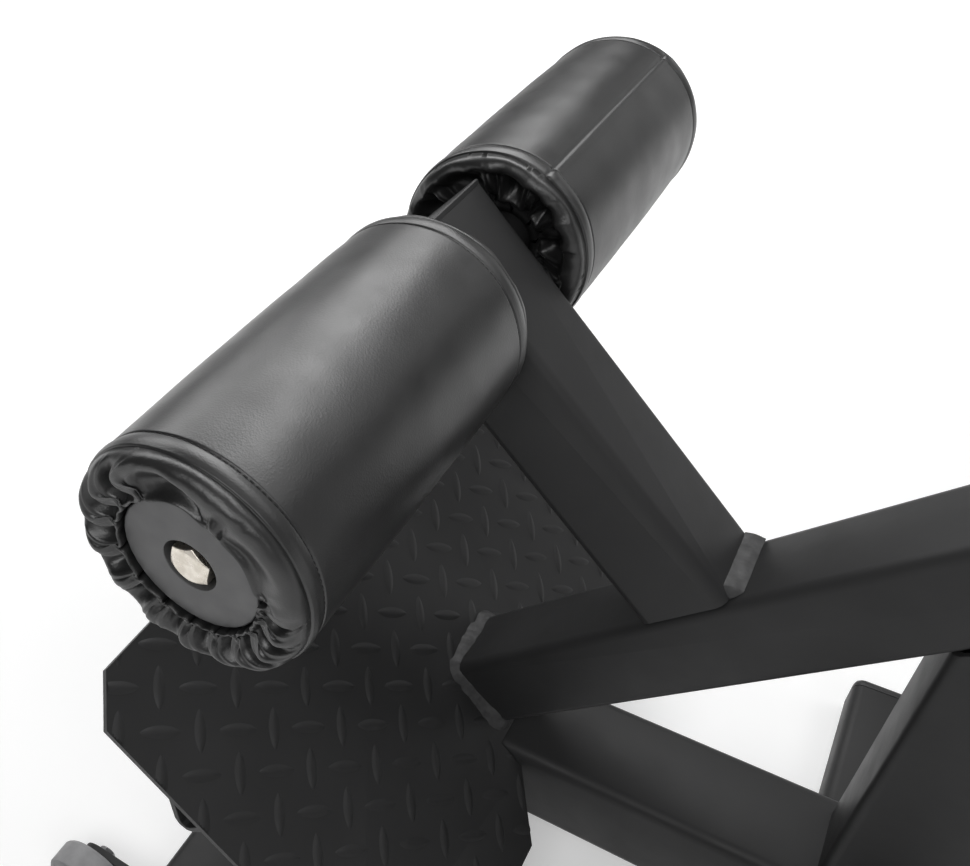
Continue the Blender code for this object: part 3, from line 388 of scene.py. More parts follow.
def bead(name, stations, seed, closed=False):
    """A weld bead along stations of (root, first leg, second leg, size), in the slope frame."""
    bm = bmesh.new()
    rows = []
    along = 0.0
    for number, (root, first, second, size) in enumerate(stations):
        if number:
            along += (root - stations[number - 1][0]).length
        points = [root - WELD_SINK * (first + second)]
        for step in range(ARC_STEPS + 1):
            lean = math.pi / 2 * step / ARC_STEPS
            middle = math.sin(2 * lean)
            plain = 1 / (math.cos(lean) + math.sin(lean))
            ripple = RIPPLE_HEIGHT * math.sin(math.tau * (along - RIPPLE_BOW * middle) / RIPPLE_PITCH)
            lumps = LUMP_HEIGHT * noise.noise(Vector((LUMP_GRAIN * along, lean, seed)))
            reach = size * (plain + WELD_CROWN * middle + ripple * middle + lumps * (0.3 + middle))
            points.append(root + (first * math.cos(lean) + second * math.sin(lean)) * reach)
        rows.append(points)
    rings = skin(bm, rows, closed_columns=closed)
    if not closed:
        bm.faces.new(rings[0])
        bm.faces.new(list(reversed(rings[-1])))
    # the bead gets the lighter coat, a painted highlight over the black powder coat
    show(name, to_mesh(name, bm), "frame", "powder_coat", SLOPE, material="weld_coat_painted_highlight",
         smooth=math.radians(60))


def taper(share, ends):
    """Size of a bead that starts and stops in a rounded crater."""
    edge = min(share, 1 - share) / ends
    return math.sqrt(min(1.0, max(0.02, edge)))


def build_post_bead():
    """A short bead along the front of the post's foot."""
    start, stop = POST_WELD
    stations = []
    for step in range(POST_WELD_STEPS + 1):
        share = step / POST_WELD_STEPS
        root = Vector((-0.0002, start + (stop - start) * share, 0.0))
        drift = 0.9 + 0.10 * noise.noise(Vector((share * 4, 2.0, 1.0)))
        stations.append((root, Vector((1, 0, 0)), Vector((0, 0, 1)),
                         WELD_LEG * drift * taper(share, 0.06)))
    bead("post_bead", stations, seed=4.0)


def beam_outline(share):
    """A point of the beam's rounded outline and the direction square to it, going around it."""
    flat = BEAM_HALF - TUBE_CORNER
    arc = TUBE_CORNER * math.pi / 2
    side = 2 * flat + arc
    place = (share % 1) * 4 * side
    corner = int(place // side)
    rest = place - corner * side
    if rest < 2 * flat:
        local, square = Vector((flat - rest, BEAM_HALF)), Vector((0, 1))
    else:
        turn = (rest - 2 * flat) / TUBE_CORNER
        square = Vector((-math.sin(turn), math.cos(turn)))
        local = Vector((-flat, flat)) + TUBE_CORNER * square
    spin = Matrix.Rotation(corner * math.pi / 2, 2)
    local, square = spin @ local, spin @ square
    return Vector((0, local.x, local.y)), Vector((0, square.x, square.y))


def build_beam_bead():
    """One uneven bead all around the beam's foot."""
    stations = []
    for step in range(BEAM_WELD_STEPS):
        share = step / BEAM_WELD_STEPS
        local, square = beam_outline(share)
        turn = math.tau * share
        root = Vector((BEAM_END, 0, BEAM_MIDDLE)) + local - 0.0003 * square
        drift = 0.72 + 0.20 * wave(7.0, turn, 1.6) + 0.16 * wave(8.0, turn, 5.0)
        stations.append((root, square, Vector((1, 0, 0)), WELD_LEG * drift))
    bead("beam_bead", stations, seed=8.0, closed=True)


def bar_places():
    """Middles and turns of the tread bars: two lattices that cross."""
    width, top, bottom = PLATE_HIGH.y, PLATE_HIGH.z, PLATE_LOW.z
    for shift, turn in ((0.5, math.pi / 4), (0.0, -math.pi / 4)):
        for column in range(-8, 9):
            for row in range(-1, 10):
                y = (column + shift) * BAR_PITCH
                z = BAR_TOP_ROW - (row + shift) * BAR_PITCH
                if abs(y) < width + BAR_LENGTH and bottom - BAR_LENGTH < z < top + BAR_LENGTH:
                    yield y, z, turn


def bar_rows(y, z, turn):
    """One lens-shaped bar that rises smoothly out of the plate, as rows of points across it.

    u runs along the bar and v across it, each from -1 to 1."""
    rows = []
    for step in range(2 * BAR_STEPS + 1):
        u = -1 + step / BAR_STEPS
        girth = BAR_WIDTH / 2 * max(0.0, 1 - u * u) ** 0.75 + BAR_TIP
        a = BAR_LENGTH / 2 * u
        row = []
        for side in range(2 * BAR_SIDES + 1):
            v = -1 + side / BAR_SIDES
            shape = (1 - v * v) ** 1.4 * max(0.0, 1 - u ** 4) ** 1.1
            b = girth * v
            row.append(Vector((PLATE_FRONT + BAR_RISE * BAR_HEIGHT * shape - BAR_SINK,
                               y + a * math.cos(turn) - b * math.sin(turn),
                               z + a * math.sin(turn) + b * math.cos(turn))))
        rows.append(row)
    return rows


def plate_cuts():
    """Points and directions of the planes that trim the bars to the plate's outline."""
    width, top, bottom = PLATE_HIGH.y - BAR_MARGIN, PLATE_HIGH.z - BAR_MARGIN, PLATE_LOW.z + BAR_MARGIN
    slant = math.sqrt(0.5)
    cuts = [((0, width, 0), (0, 1, 0)), ((0, -width, 0), (0, -1, 0)), ((0, 0, top), (0, 0, 1)),
            ((0, 0, bottom), (0, 0, -1))]
    for side in (-1, 1):
        for end, level in ((1, top), (-1, bottom)):
            corner = (0, side * (width - PLATE_CHAMFER), level)
            cuts.append((corner, (0, side * slant, end * slant)))
    return cuts


def build_tread():
    """The tread bars, where the plate lies behind them and inside its outline."""
    bm = bmesh.new()
    for y, z, turn in bar_places():
        skin(bm, bar_rows(y, z, turn), closed_rows=False)
    plate = BVHTree.FromObject(bpy.data.objects["foot_plate_finish"],
                               bpy.context.evaluated_depsgraph_get())
    lift = 0.01
    missing = []
    for vertex in bm.verts:
        point = Vector((PLATE_FRONT + lift, vertex.co.y, vertex.co.z))
        if plate.ray_cast(SLOPE @ point, -UP_SLOPE, 1.2 * lift)[0] is None:
            missing.append(vertex)
    bmesh.ops.delete(bm, geom=missing, context="VERTS")
    for place, direction in plate_cuts():
        bmesh.ops.bisect_plane(bm, geom=bm.verts[:] + bm.edges[:] + bm.faces[:], plane_co=place,
                               plane_no=direction, clear_outer=True)
    show("foot_plate_bars", to_mesh("foot_plate_bars", bm), "frame", "powder_coat", SLOPE, smooth=None)


# Ankle rollers.
NEAR_LOW, NEAR_HIGH = span("ankle_roller_near")
ROLLER_END = -NEAR_LOW.y
ROLLER_START = -NEAR_HIGH.y
DISC_LOW, DISC_HIGH = span("roller_outer_disc_near")
DISC_FACE = -DISC_LOW.y
DISC_BACK = -DISC_HIGH.y
DISC_RADIUS = (DISC_HIGH.x - DISC_LOW.x) / 2
CORE_RADIUS = (span("roller_core_near")[1].x - span("roller_core_near")[0].x) / 2
SLEEVE_RADIUS = 0.0570
SLEEVE_CROWN = 0.0012
AROUND = 480                # points around a roller
SEAM_IN = 0.0066            # end seam, in from the roller's end
STITCH_IN = 0.0157          # topstitch, in from the roller's end
SEAM_DEPTH, SEAM_WIDTH = 0.0014, 0.0004
STITCH_DEPTH, STITCH_WIDTH = 0.0008, 0.0005
PUFF = 0.0006               # rise of the cover between the seam and the topstitch
SEAM_ROWS = (0, 0.0002, 0.0004, 0.0006, 0.0009, 0.0013, 0.0019, 0.0026)     # rows each side of a seam
PUFF_ROWS = (0.0100, 0.0120)
SIDE_ROWS = 40
SIDE_MARGIN = 0.003         # even rows keep this far from the topstitches
LONG_SEAM = {"far": math.radians(57), "near": math.radians(250)}
FLAP_HEIGHT, FLAP_WIDTH = 0.0006, 0.0024            # the lengthwise seam's flap and the groove beside it
GROOVE_DEPTH, GROOVE_WIDTH, GROOVE_AWAY = 0.0007, 0.0010, 0.0034
UNEVENNESS = 0.0003
STITCHES = 116
STITCH_SIZE = (0.00032, 0.00032, 0.00105)           # half sizes of a thread
STITCH_TURN = 0.10
STITCH_SINK = 0.0001

HEM_CLEARANCE = 0.0012      # between the outer disc and the hem around it
HEM_LOW = 0.0004            # how far the outer hem starts above the disc's face
INNER_HEM_RADIUS = 0.0245
INNER_HEM_IN = 0.0052
INNER_WALL = 0.018          # how far in the inner end's wall becomes even
INNER_FLOOR = 0.0215        # where the inner end's cover meets the core, in from the end
BEHIND_DISC = 0.0020        # where the outer end's cover meets the core, behind the disc's back
FLOOR_STEP = 0.004
CORE_CLEARANCE = 0.0003
OUTER_BULGE, INNER_BULGE = 0.0068, 0.0078
INNER_PLUNGE = 0.0115       # how far the inner end's middle sinks in
GATHER_ROWS = 34
SEAM_STEP = 0.0006          # the gathers start this far inside the sleeve
SEAM_LOOSENESS = 0.45       # how even the cloth's angles are at the seam, from 0 as in the tucks to 1
RIDGE_START = 0.62          # a ridge that doesn't reach the seam starts up to this far from it
RIDGE_HEIGHT = 0.0020
FLATTENING = 0.22           # how much lower the roll is between two ridges
HEM_LIP = 0.0026
LIP_WIDTH = 0.07
WIDE_TUCK = 0.008
TUCK_STEPS = 72
HEM_STEP = 0.00035          # of the hem between two tucks
UNDERCUT = 0.002            # how far the cover falls back behind its hem

# A gather: angle (in degrees in the tables), width and height of the tuck in mm, reach towards the seam,
# hollow after it in mm, lift of the hem after it in mm, lean of the ridge in degrees, and how far the
# tuck's hem stands up in mm.
Fold = namedtuple("Fold", "angle width height reach hollow lift lean stand")
OUTER_FOLDS = (
    (1, 11.5, 5.4, 0.62, 1.6, 1.2, -3, 1.0), (57, 10.5, 6.4, 0.45, 6.6, 2.4, 3, 5.2),
    (114, 6.4, 6.6, 0.85, 9.0, 0.8, 12, 2.0), (139, 5.4, 4.6, 1.00, 8.4, 0.8, 12, 0.5),
    (162, 5.2, 4.2, 0.95, 8.0, 0.6, 9, 0.0), (188, 5.4, 4.6, 1.00, 7.8, 0.8, 5, 0.0),
    (214, 5.2, 3.8, 0.85, 7.2, 0.6, 1, 0.0), (239, 6.0, 5.2, 1.00, 6.0, 1.0, -2, 0.0),
    (262, 5.0, 3.8, 0.90, 7.6, 0.8, -5, 0.0), (284, 5.0, 3.6, 0.85, 6.6, 0.5, -7, 0.0),
    (304, 5.2, 4.0, 0.95, 7.0, 0.8, -10, 0.0), (325, 5.4, 4.0, 0.90, 6.2, 0.6, -11, 0.0),
    (343, 5.6, 3.6, 0.80, 5.0, 3.0, -9, 0.0),
)
INNER_FOLDS = (
    (24, 6.0, 8.0, 0.60, 8.6, 1.0, 4, 0.0), (57, 6.4, 8.5, 0.75, 9.0, 1.0, 3, 0.0),
    (100, 6.4, 8.5, 0.80, 9.2, 1.2, -4, 0.0), (140, 5.6, 8.0, 0.80, 8.4, 1.0, 4, 0.0),
    (172, 5.4, 8.0, 0.90, 8.0, 1.0, 3, 0.0), (208, 5.8, 8.5, 0.75, 8.6, 1.0, -4, 0.0),
    (246, 5.6, 8.0, 0.90, 8.8, 1.2, 4, 0.0), (284, 5.8, 8.5, 0.80, 8.4, 1.0, -3, 0.0),
    (318, 5.6, 8.0, 0.65, 8.6, 1.2, 4, 0.0), (350, 5.4, 8.0, 0.50, 8.0, 1.0, -4, 0.0),
)


def smooth(value, low, high):
    """A soft step from 0 at low to 1 at high."""
    share = min(1.0, max(0.0, (value - low) / (high - low)))
    return share * share * (3 - 2 * share)


def wave(seed, angle, frequency):
    """Smooth noise around a ring, from -1 to 1."""
    return noise.noise(Vector((math.cos(angle) * frequency, math.sin(angle) * frequency, seed)))


def tuck(width, height):
    """A loop of cloth that stands out from the hem, as (across, outward) points.

    Narrow ones stand more upright."""
    squareness, steepest = (1.1, 1.30) if width > WIDE_TUCK else (0.5, 1.62)
    points = [(0.0, 0.0)]
    for step in range(TUCK_STEPS):
        sine = math.sin(math.tau * (step + 0.5) / TUCK_STEPS)
        slant = steepest * math.copysign(abs(sine) ** squareness, sine)
        points.append((points[-1][0] + math.cos(slant), points[-1][1] + math.sin(slant)))
    widest = points[-1][0]
    highest = max(y for x, y in points)
    return [(x / widest * width, y / highest * height) for x, y in points]


def half_turn(angle):
    """The same angle between minus and plus half a turn."""
    return (angle + math.pi) % math.tau - math.pi


def hem_line(folds, radius):
    """The gathered hem seen along the axle, at even steps of cloth.

    Each point is its angle, its distance out from the hem circle, how far it is on a tuck, the share of
    the way from this tuck to the next, and the number of this tuck."""
    points = []
    for number, fold in enumerate(folds):
        following = folds[(number + 1) % len(folds)]
        end = following.angle + (math.tau if number + 1 == len(folds) else 0)
        half = fold.width / 1000 / radius / 2
        loop = tuck(fold.width / 1000, fold.height / 1000)
        for step, (across, outward) in enumerate(loop[:-1]):
            share = step / (len(loop) - 1)
            points.append((fold.angle - half + across / radius, outward,
                           0.5 - 0.5 * math.cos(math.tau * share), 0.0 if share > 0.5 else 1.0,
                           number if share > 0.5 else number - 1))
        start = fold.angle + half
        stop = end - following.width / 1000 / radius / 2
        steps = max(6, round((stop - start) * radius / HEM_STEP))
        for step in range(steps):
            share = step / steps
            points.append((start + (stop - start) * share,
                           fold.lift / 1000 * math.sin(math.pi * share) ** 2, 0.0, share, number))
    places = [0.0]
    for before, after in zip(points, points[1:] + points[:1]):
        around = half_turn(after[0] - before[0]) * radius
        places.append(places[-1] + math.hypot(around, after[1] - before[1]))
    hem = []
    index = 0
    for count in range(AROUND):
        place = places[-1] * count / AROUND
        while places[index + 1] < place:
            index += 1
        part = (place - places[index]) / (places[index + 1] - places[index])
        before, after = points[index], points[(index + 1) % len(points)]
        hem.append((before[0] + half_turn(after[0] - before[0]) * part,
                    before[1] + (after[1] - before[1]) * part,
                    before[2] + (after[2] - before[2]) * part, before[3], before[4]))
    return hem


def gathers(table, inner_radius, end_in, hem_in, bulge, seed, lip=HEM_LIP, plunge=0.0):
    """Rows over a gathered end, each point as (angle, radius, depth from the end).

    t runs from 0 at the seam to 1 at the hem."""
    folds = sorted(Fold(math.radians(row[0]), *row[1:]) for row in table)
    hem = hem_line(folds, inner_radius)
    offsets = [point[0] - math.tau * count / AROUND for count, point in enumerate(hem)]
    middle = sum(offsets) / AROUND
    rows = []
    for row in range(GATHER_ROWS + 1):
        t = row / GATHER_ROWS
        points = []
        for count, (angle, outward, tucked, share, number) in enumerate(hem):
            fold = folds[number]
            after = folds[(number + 1) % len(folds)]
            blend = smooth(share, 0, 1)
            reach = fold.reach + (after.reach - fold.reach) * blend
            lean = fold.lean + (after.lean - fold.lean) * blend
            stand = (fold if share < 0.5 else after).stand / 1000
            # the angle goes from the loose cloth's at the seam to the tuck's at the hem
            loose = math.tau * count / AROUND + middle
            seam_angle = angle + SEAM_LOOSENESS * (loose - angle)
            theta = seam_angle + (angle - seam_angle) * t ** 1.4
            theta += math.radians(lean) * (math.sin(math.pi * t) - 0.8 * (1 - t))
            radius = (SLEEVE_RADIUS - SEAM_STEP
                      + (inner_radius + outward - SLEEVE_RADIUS + SEAM_STEP) * t ** 0.96)
            base = end_in + (hem_in - end_in) * t
            # the end's roll, the tucks' ridges and the hollows between them
            hill = math.sin(math.pi * min(1, t ** 0.50)) ** 0.85
            ridge = tucked ** 2.0
            start = RIDGE_START * (1 - reach)
            along = max(0.0, (t - start) / (1 - start))
            bowl = math.sin(math.pi * along ** 1.35) ** 1.1 if along < 1 else 0.0
            across = max(0.0, math.sin(math.pi * min(1, max(0, share)))) ** 0.8
            rise = bulge * hill * (1.0 - FLATTENING * reach * (1 - ridge) * across)
            rise -= fold.hollow / 1000 * bowl * across * (1 - ridge)
            rise += RIDGE_HEIGHT * ridge * bowl
            rise -= plunge * smooth(along, 0.06, 0.36) * (1 - 0.6 * ridge)
            rise += lip * math.exp(-((1 - t) / LIP_WIDTH) ** 2) * (1 - 0.7 * ridge)
            rise += stand * tucked ** 1.3 * smooth(t, 0.5, 0.98)
            # unevenness
            rise += 0.0007 * wave(seed, theta, 3.3) * hill
            rise += 0.0005 * wave(seed + 9, theta, 8.0) * hill * (1 - t)
            rise += 0.0010 * wave(seed + 4, angle, 2.3) * t ** 3
            points.append((theta, radius, base - rise))
        rows.append(points)
    return rows


def hem_walls(last, levels):
    """Rows that roll over the hem and run down beside the disc.

    Each level is how far the row is set in from the hem, how much deeper it lies, whether it has left
    the hem's uneven depth (1) or not (0), and the even depth that it has then."""
    rows = []
    count = len(last)
    for offset, deeper, evened_out, even_depth in levels:
        points = []
        for index, (angle, radius, depth) in enumerate(last):
            before, after = last[index - 1], last[(index + 1) % count]
            along = Vector((half_turn(after[0] - before[0]) * radius, after[1] - before[1])).normalized()
            inward = Vector((along.y, -along.x))
            reached = radius + inward.y * offset + UNDERCUT * evened_out
            points.append((angle + inward.x * offset / reached, reached,
                           (depth + deeper) * (1 - evened_out) + even_depth * evened_out))
        rows.append(points)
    return rows


def ring(radius, depth):
    """A plain circle as a row of the cover."""
    return [(math.tau * index / AROUND, radius, depth) for index in range(AROUND)]


def sleeve_places(length):
    """Where the rows of the roller's side lie along it: close together at its seams."""
    places = set()
    for start in (SEAM_IN, STITCH_IN):
        for offset in SEAM_ROWS:
            for place in (start - offset, start + offset):
                places.add(round(place, 6))
                places.add(round(length - place, 6))
    for step in range(1, SIDE_ROWS):
        place = STITCH_IN + SIDE_MARGIN + (length - 2 * STITCH_IN - 2 * SIDE_MARGIN) * step / SIDE_ROWS
        places.add(round(place, 6))
    for place in PUFF_ROWS:
        places.add(place)
        places.add(length - place)
    return [place for place in sorted(places) if SEAM_IN <= place <= length - SEAM_IN]


def sleeve_rows(length, seam_angle):
    """Rows along the roller's side, with its seams: (angle, radius, place along the roller)."""
    rows = []
    for place in sleeve_places(length):
        radius = SLEEVE_RADIUS + SLEEVE_CROWN * math.sin(math.pi * place / length) ** 0.7
        for end in (place, length - place):
            radius -= SEAM_DEPTH * math.exp(-((end - SEAM_IN) / SEAM_WIDTH) ** 2)
            radius += PUFF * math.sin(math.pi * smooth(end, SEAM_IN, STITCH_IN)) ** 0.8
            radius -= STITCH_DEPTH * math.exp(-((end - STITCH_IN) / STITCH_WIDTH) ** 2)
        points = []
        for index in range(AROUND):
            angle = math.tau * index / AROUND
            off = half_turn(angle - seam_angle) * SLEEVE_RADIUS
            flap = FLAP_HEIGHT * math.exp(-(off / FLAP_WIDTH) ** 2)
            groove = GROOVE_DEPTH * math.exp(-((off - GROOVE_AWAY) / GROOVE_WIDTH) ** 2)
            spot = Vector((3 * math.cos(angle), 3 * math.sin(angle), 40 * place))
            points.append((angle, radius + (flap - groove) + UNEVENNESS * noise.noise(spot), place))
        rows.append(points)
    return rows


def outer_end():
    """The gathered end around the disc, from the seam to the core."""
    radius = DISC_RADIUS + HEM_CLEARANCE
    down = ROLLER_END - DISC_BACK + BEHIND_DISC
    rows = gathers(OUTER_FOLDS, radius, SEAM_IN, ROLLER_END - DISC_FACE - HEM_LOW, OUTER_BULGE, seed=3.7)
    rows += hem_walls(rows[-1], ((0.0004, -0.0002, 0, 0), (0.0008, 0.0003, 0, 0), (0.0009, 0.0015, 0, 0),
                                 (0.0008, 0, 1, 0.8 * down), (0.0006, 0, 1, down)))
    return rows + [ring(radius - FLOOR_STEP, down), ring(CORE_RADIUS + CORE_CLEARANCE, down)]


def inner_end():
    """The gathered end beside the post, from the seam to the core."""
    rows = gathers(INNER_FOLDS, INNER_HEM_RADIUS, SEAM_IN, INNER_HEM_IN, INNER_BULGE, seed=11.3, lip=0.0,
                   plunge=INNER_PLUNGE)
    rows += hem_walls(rows[-1], ((0.0005, 0.0002, 0, 0), (0.0010, 0.0008, 0, 0), (0.0012, 0.003, 0, 0),
                                 (0.0012, 0, 1, INNER_WALL), (0.0010, 0, 1, INNER_FLOOR)))
    return rows + [ring(CORE_RADIUS + FLOOR_STEP, INNER_FLOOR),
                   ring(CORE_RADIUS + CORE_CLEARANCE, INNER_FLOOR)]


def build_roller(side, sign):
    """The padded cover of an ankle roller, and the threads of its topstitches."""
    length = ROLLER_END - ROLLER_START
    rows = list(reversed(inner_end())) + sleeve_rows(length, LONG_SEAM[side])
    rows += [[(angle, radius, length - depth) for angle, radius, depth in row] for row in outer_end()]
    bm = bmesh.new()
    skin(bm, [[Vector((radius * math.cos(angle), sign * (ROLLER_START + along),
                       radius * math.sin(angle))) for angle, radius, along in row] for row in rows],
         closed_columns=True)
    name = "ankle_roller_" + side
    cover = show(name + "_cover", to_mesh(name, bm), side + "_roller", "leatherette",
                 Matrix.Translation(ROLLER_AXIS), (name,), smooth=None)
    build_stitches(name + "_stitches", side, sign, (STITCH_IN, length - STITCH_IN))


def build_stitches(name, side, sign, places):
    """Short threads of the topstitch, sunk into their groove."""
    bm = bmesh.new()
    radius = SLEEVE_RADIUS - STITCH_SINK
    for place in places:
        for index in range(STITCHES):
            angle = math.tau * index / STITCHES
            middle = Vector((radius * math.cos(angle), sign * (ROLLER_START + place),
                             radius * math.sin(angle)))
            turn = Matrix.Rotation(-angle, 4, "Y") @ Matrix.Rotation(sign * STITCH_TURN, 4, "X")
            bmesh.ops.create_icosphere(bm, subdivisions=2, radius=1, matrix=Matrix.Translation(middle)
                                       @ turn @ Matrix.Diagonal((*STITCH_SIZE, 1)))
    show(name, to_mesh(name, bm), side + "_roller", "leatherette", Matrix.Translation(ROLLER_AXIS),
         material="thread", smooth=None)


# Hip pads.
PAD_VOXEL = 0.005
PAD_SWELL = 0.006       # farthest that the pressure may move the cover
PAD_EVENING = 14        # rounds of averaging over the cover's buckles
PAD_FRAMES = 20         # of the cloth simulation
PAD_DRAWN_IN = (0.985, 0.975)   # the cover before it swells, against the CAD pad's length and width
PAD_CROWN = 0.0035
PAD_SEAM = 0.42         # height of the welted seam, as a share of the pad's thickness
WELT_RADIUS = 0.0016
WELT_SIDES = 10
WELT_STEPS = 360
PINCH_DEPTH, PINCH_HEIGHT = 0.0016, 0.0032      # the welt draws the cover in
CREASE_DEPTH, CREASE_HEIGHT = 0.0005, 0.016     # small creases on both sides of it
LOOP_ROUNDS = 6         # rounds of smoothing of a seam's line
PAD_STITCHES = 190
PAD_STITCH_AWAY = 0.0052
PAD_STITCH_SIZE = (0.00135, 0.0004, 0.0004)     # half sizes of a thread
UPRIGHT = Vector((0, 0, 1))


def apply_modifiers(piece):
    """Keep a piece's mesh as its modifiers make it."""
    bpy.context.view_layer.update()
    evaluated = piece.evaluated_get(bpy.context.evaluated_depsgraph_get())
    mesh = bpy.data.meshes.new_from_object(evaluated)
    piece.modifiers.clear()
    piece.data = mesh


def evened(mesh, steps):
    """Each vertex's step, averaged with its neighbours' so that the cover has no sharp buckles."""
    nearby = [[index] for index in range(len(steps))]
    for edge in mesh.edges:
        one, two = edge.vertices
        nearby[one].append(two)
        nearby[two].append(one)
    for turn in range(PAD_EVENING):
        steps = [sum((steps[index] for index in near), Vector()) / len(near) for near in nearby]
    return steps


def swell(piece, low):
    """Blow the cover up a little by cloth pressure, held at its base."""
    mesh = piece.data
    rest = [vertex.co.copy() for vertex in mesh.vertices]
    base = piece.vertex_groups.new(name="base")
    base.add([index for index, point in enumerate(rest) if point.z < low.z + PAD_VOXEL], 1.0,
             "REPLACE")
    cloth = piece.modifiers.new("swell", "CLOTH")
    settings = cloth.settings
    settings.quality = 5
    settings.mass = 0.3
    settings.tension_stiffness = settings.compression_stiffness = 22
    settings.shear_stiffness = 6
    settings.bending_stiffness = 1.2
    settings.vertex_group_mass = "base"
    settings.use_pressure = True
    settings.uniform_pressure_force = 4
    settings.effector_weights.gravity = 0
    cloth.point_cache.frame_start = 1
    cloth.point_cache.frame_end = PAD_FRAMES
    scene = bpy.context.scene
    for frame_number in range(1, PAD_FRAMES + 1):
        scene.frame_set(frame_number)
    blown = piece.evaluated_get(bpy.context.evaluated_depsgraph_get())
    steps = [vertex.co - before for vertex, before in zip(blown.data.vertices, rest)]
    piece.modifiers.remove(cloth)
    scene.frame_set(1)
    for vertex, before, step in zip(mesh.vertices, rest, evened(mesh, steps)):
        vertex.co = before + step * PAD_SWELL / (PAD_SWELL + step.length)


def seam_loop(piece, level):
    """The outline of a piece where a flat plane cuts it, as points in order around it."""
    bm = bmesh.new()
    bm.from_mesh(piece.data)
    cut = bmesh.ops.bisect_plane(bm, geom=bm.verts[:] + bm.edges[:] + bm.faces[:],
                                 plane_co=(0, 0, level), plane_no=(0, 0, 1))["geom_cut"]
    points = [item.co.copy() for item in cut if isinstance(item, bmesh.types.BMVert)]
    bm.free()
    centre = sum(points, Vector()) / len(points)
    points.sort(key=lambda point: math.atan2(point.y - centre.y, point.x - centre.x))
    return points


def smooth_loop(points, count):
    """Even steps along a closed line, smoothed."""
    places = [0.0]
    for before, after in zip(points, points[1:] + points[:1]):
        places.append(places[-1] + (after - before).length)
    even = []
    index = 0
    for step in range(count):
        place = places[-1] * step / count
        while places[index + 1] < place:
            index += 1
        step_length = max(1e-9, places[index + 1] - places[index])
        even.append(points[index].lerp(points[(index + 1) % len(points)],
                                       (place - places[index]) / step_length))
    for turn in range(LOOP_ROUNDS):
        even = [(even[index - 1] + 2 * even[index] + even[(index + 1) % count]) / 4
                for index in range(count)]
    return even


def line_direction(line, index):
    """Where a closed line heads at one of its points."""
    return (line[(index + 1) % len(line)] - line[index - 1]).normalized()


def welt_rows(line):
    """Rings of points around a closed flat line."""
    turns = [math.tau * corner / WELT_SIDES for corner in range(WELT_SIDES)]
    rows = []
    for index, point in enumerate(line):
        out = line_direction(line, index).cross(UPRIGHT)
        rows.append([point + WELT_RADIUS * (math.cos(turn) * out + math.sin(turn) * UPRIGHT)
                     for turn in turns])
    return rows


def pad_stitches(pad, seam):
    """Short threads above and below the welt."""
    bm = bmesh.new()
    for away in (PAD_STITCH_AWAY, -PAD_STITCH_AWAY):
        line = smooth_loop(seam_loop(pad, seam + away), PAD_STITCHES)
        for index, point in enumerate(line):
            along = line_direction(line, index)
            turn = Matrix((along, UPRIGHT.cross(along), UPRIGHT)).transposed().to_4x4()
            bmesh.ops.create_icosphere(bm, subdivisions=1, radius=1, matrix=Matrix.Translation(point)
                                       @ turn @ Matrix.Diagonal((*PAD_STITCH_SIZE, 1)))
    return bm


def pinch_in(pad, centre, seam):
    """Draw the cover in at its welt, with small creases on both sides."""
    for vertex in pad.data.vertices:
        point = vertex.co
        off = point.z - seam
        pinch = PINCH_DEPTH * math.exp(-(off / PINCH_HEIGHT) ** 2)
        flat = Vector((point.x - centre.x, point.y - centre.y, 0))
        if flat.length > 0:
            crease = noise.noise(Vector((point.x * 55, point.y * 55, point.z * 20)))
            pinch += CREASE_DEPTH * crease * math.exp(-(off / CREASE_HEIGHT) ** 2)
            vertex.co = point - flat.normalized() * pinch


def build_hip_pad(side):
    """The CAD pad's shape, remeshed and swollen by pressure, then given its welted seam and stitches."""
    node = "hip_pad_" + side
    bm = bmesh.new()
    bm.from_mesh(frame["nodes"][node].data)
    bmesh.ops.remove_doubles(bm, verts=bm.verts, dist=MERGE)
    mesh = to_mesh(node, bm)
    mesh.transform(SLOPE.inverted())
    low, high = span(node, SLOPE)
    centre = (low + high) / 2
    pad = show(node + "_cover", mesh, BODY_OF[node], "leatherette", SLOPE, (node,), smooth=None)
    remesh = pad.modifiers.new("even", "REMESH")
    remesh.mode = "VOXEL"
    remesh.voxel_size = PAD_VOXEL
    apply_modifiers(pad)
    for vertex in pad.data.vertices:
        for axis, share in enumerate(PAD_DRAWN_IN):
            vertex.co[axis] = centre[axis] + (vertex.co[axis] - centre[axis]) * share
    swell(pad, low)
    seam = low.z + PAD_SEAM * (high.z - low.z)
    line = smooth_loop(seam_loop(pad, seam), WELT_STEPS)
    for vertex in pad.data.vertices:
        across = [(vertex.co[axis] - centre[axis]) * 2 / (high[axis] - low[axis]) for axis in (0, 1)]
        crown = max(0.0, 1 - across[0] ** 2) * max(0.0, 1 - across[1] ** 2)
        vertex.co.z += PAD_CROWN * crown * (vertex.co.z - low.z) / (high.z - low.z)
    relax = pad.modifiers.new("relax", "SMOOTH")
    relax.factor = 0.5
    relax.iterations = 4
    subdivide = pad.modifiers.new("fine", "SUBSURF")
    subdivide.levels = 1
    subdivide.render_levels = 1
    apply_modifiers(pad)
    pinch_in(pad, centre, seam)
    pad.data.shade_smooth()
    bm = bmesh.new()
    skin(bm, welt_rows(line), closed_columns=True)
    show(node + "_welt", to_mesh(node + "_welt", bm), BODY_OF[node], "leatherette", SLOPE, smooth=None)
    show(node + "_stitches", to_mesh(node + "_stitches", pad_stitches(pad, seam)), BODY_OF[node],
         "leatherette", SLOPE, material="thread", smooth=None)


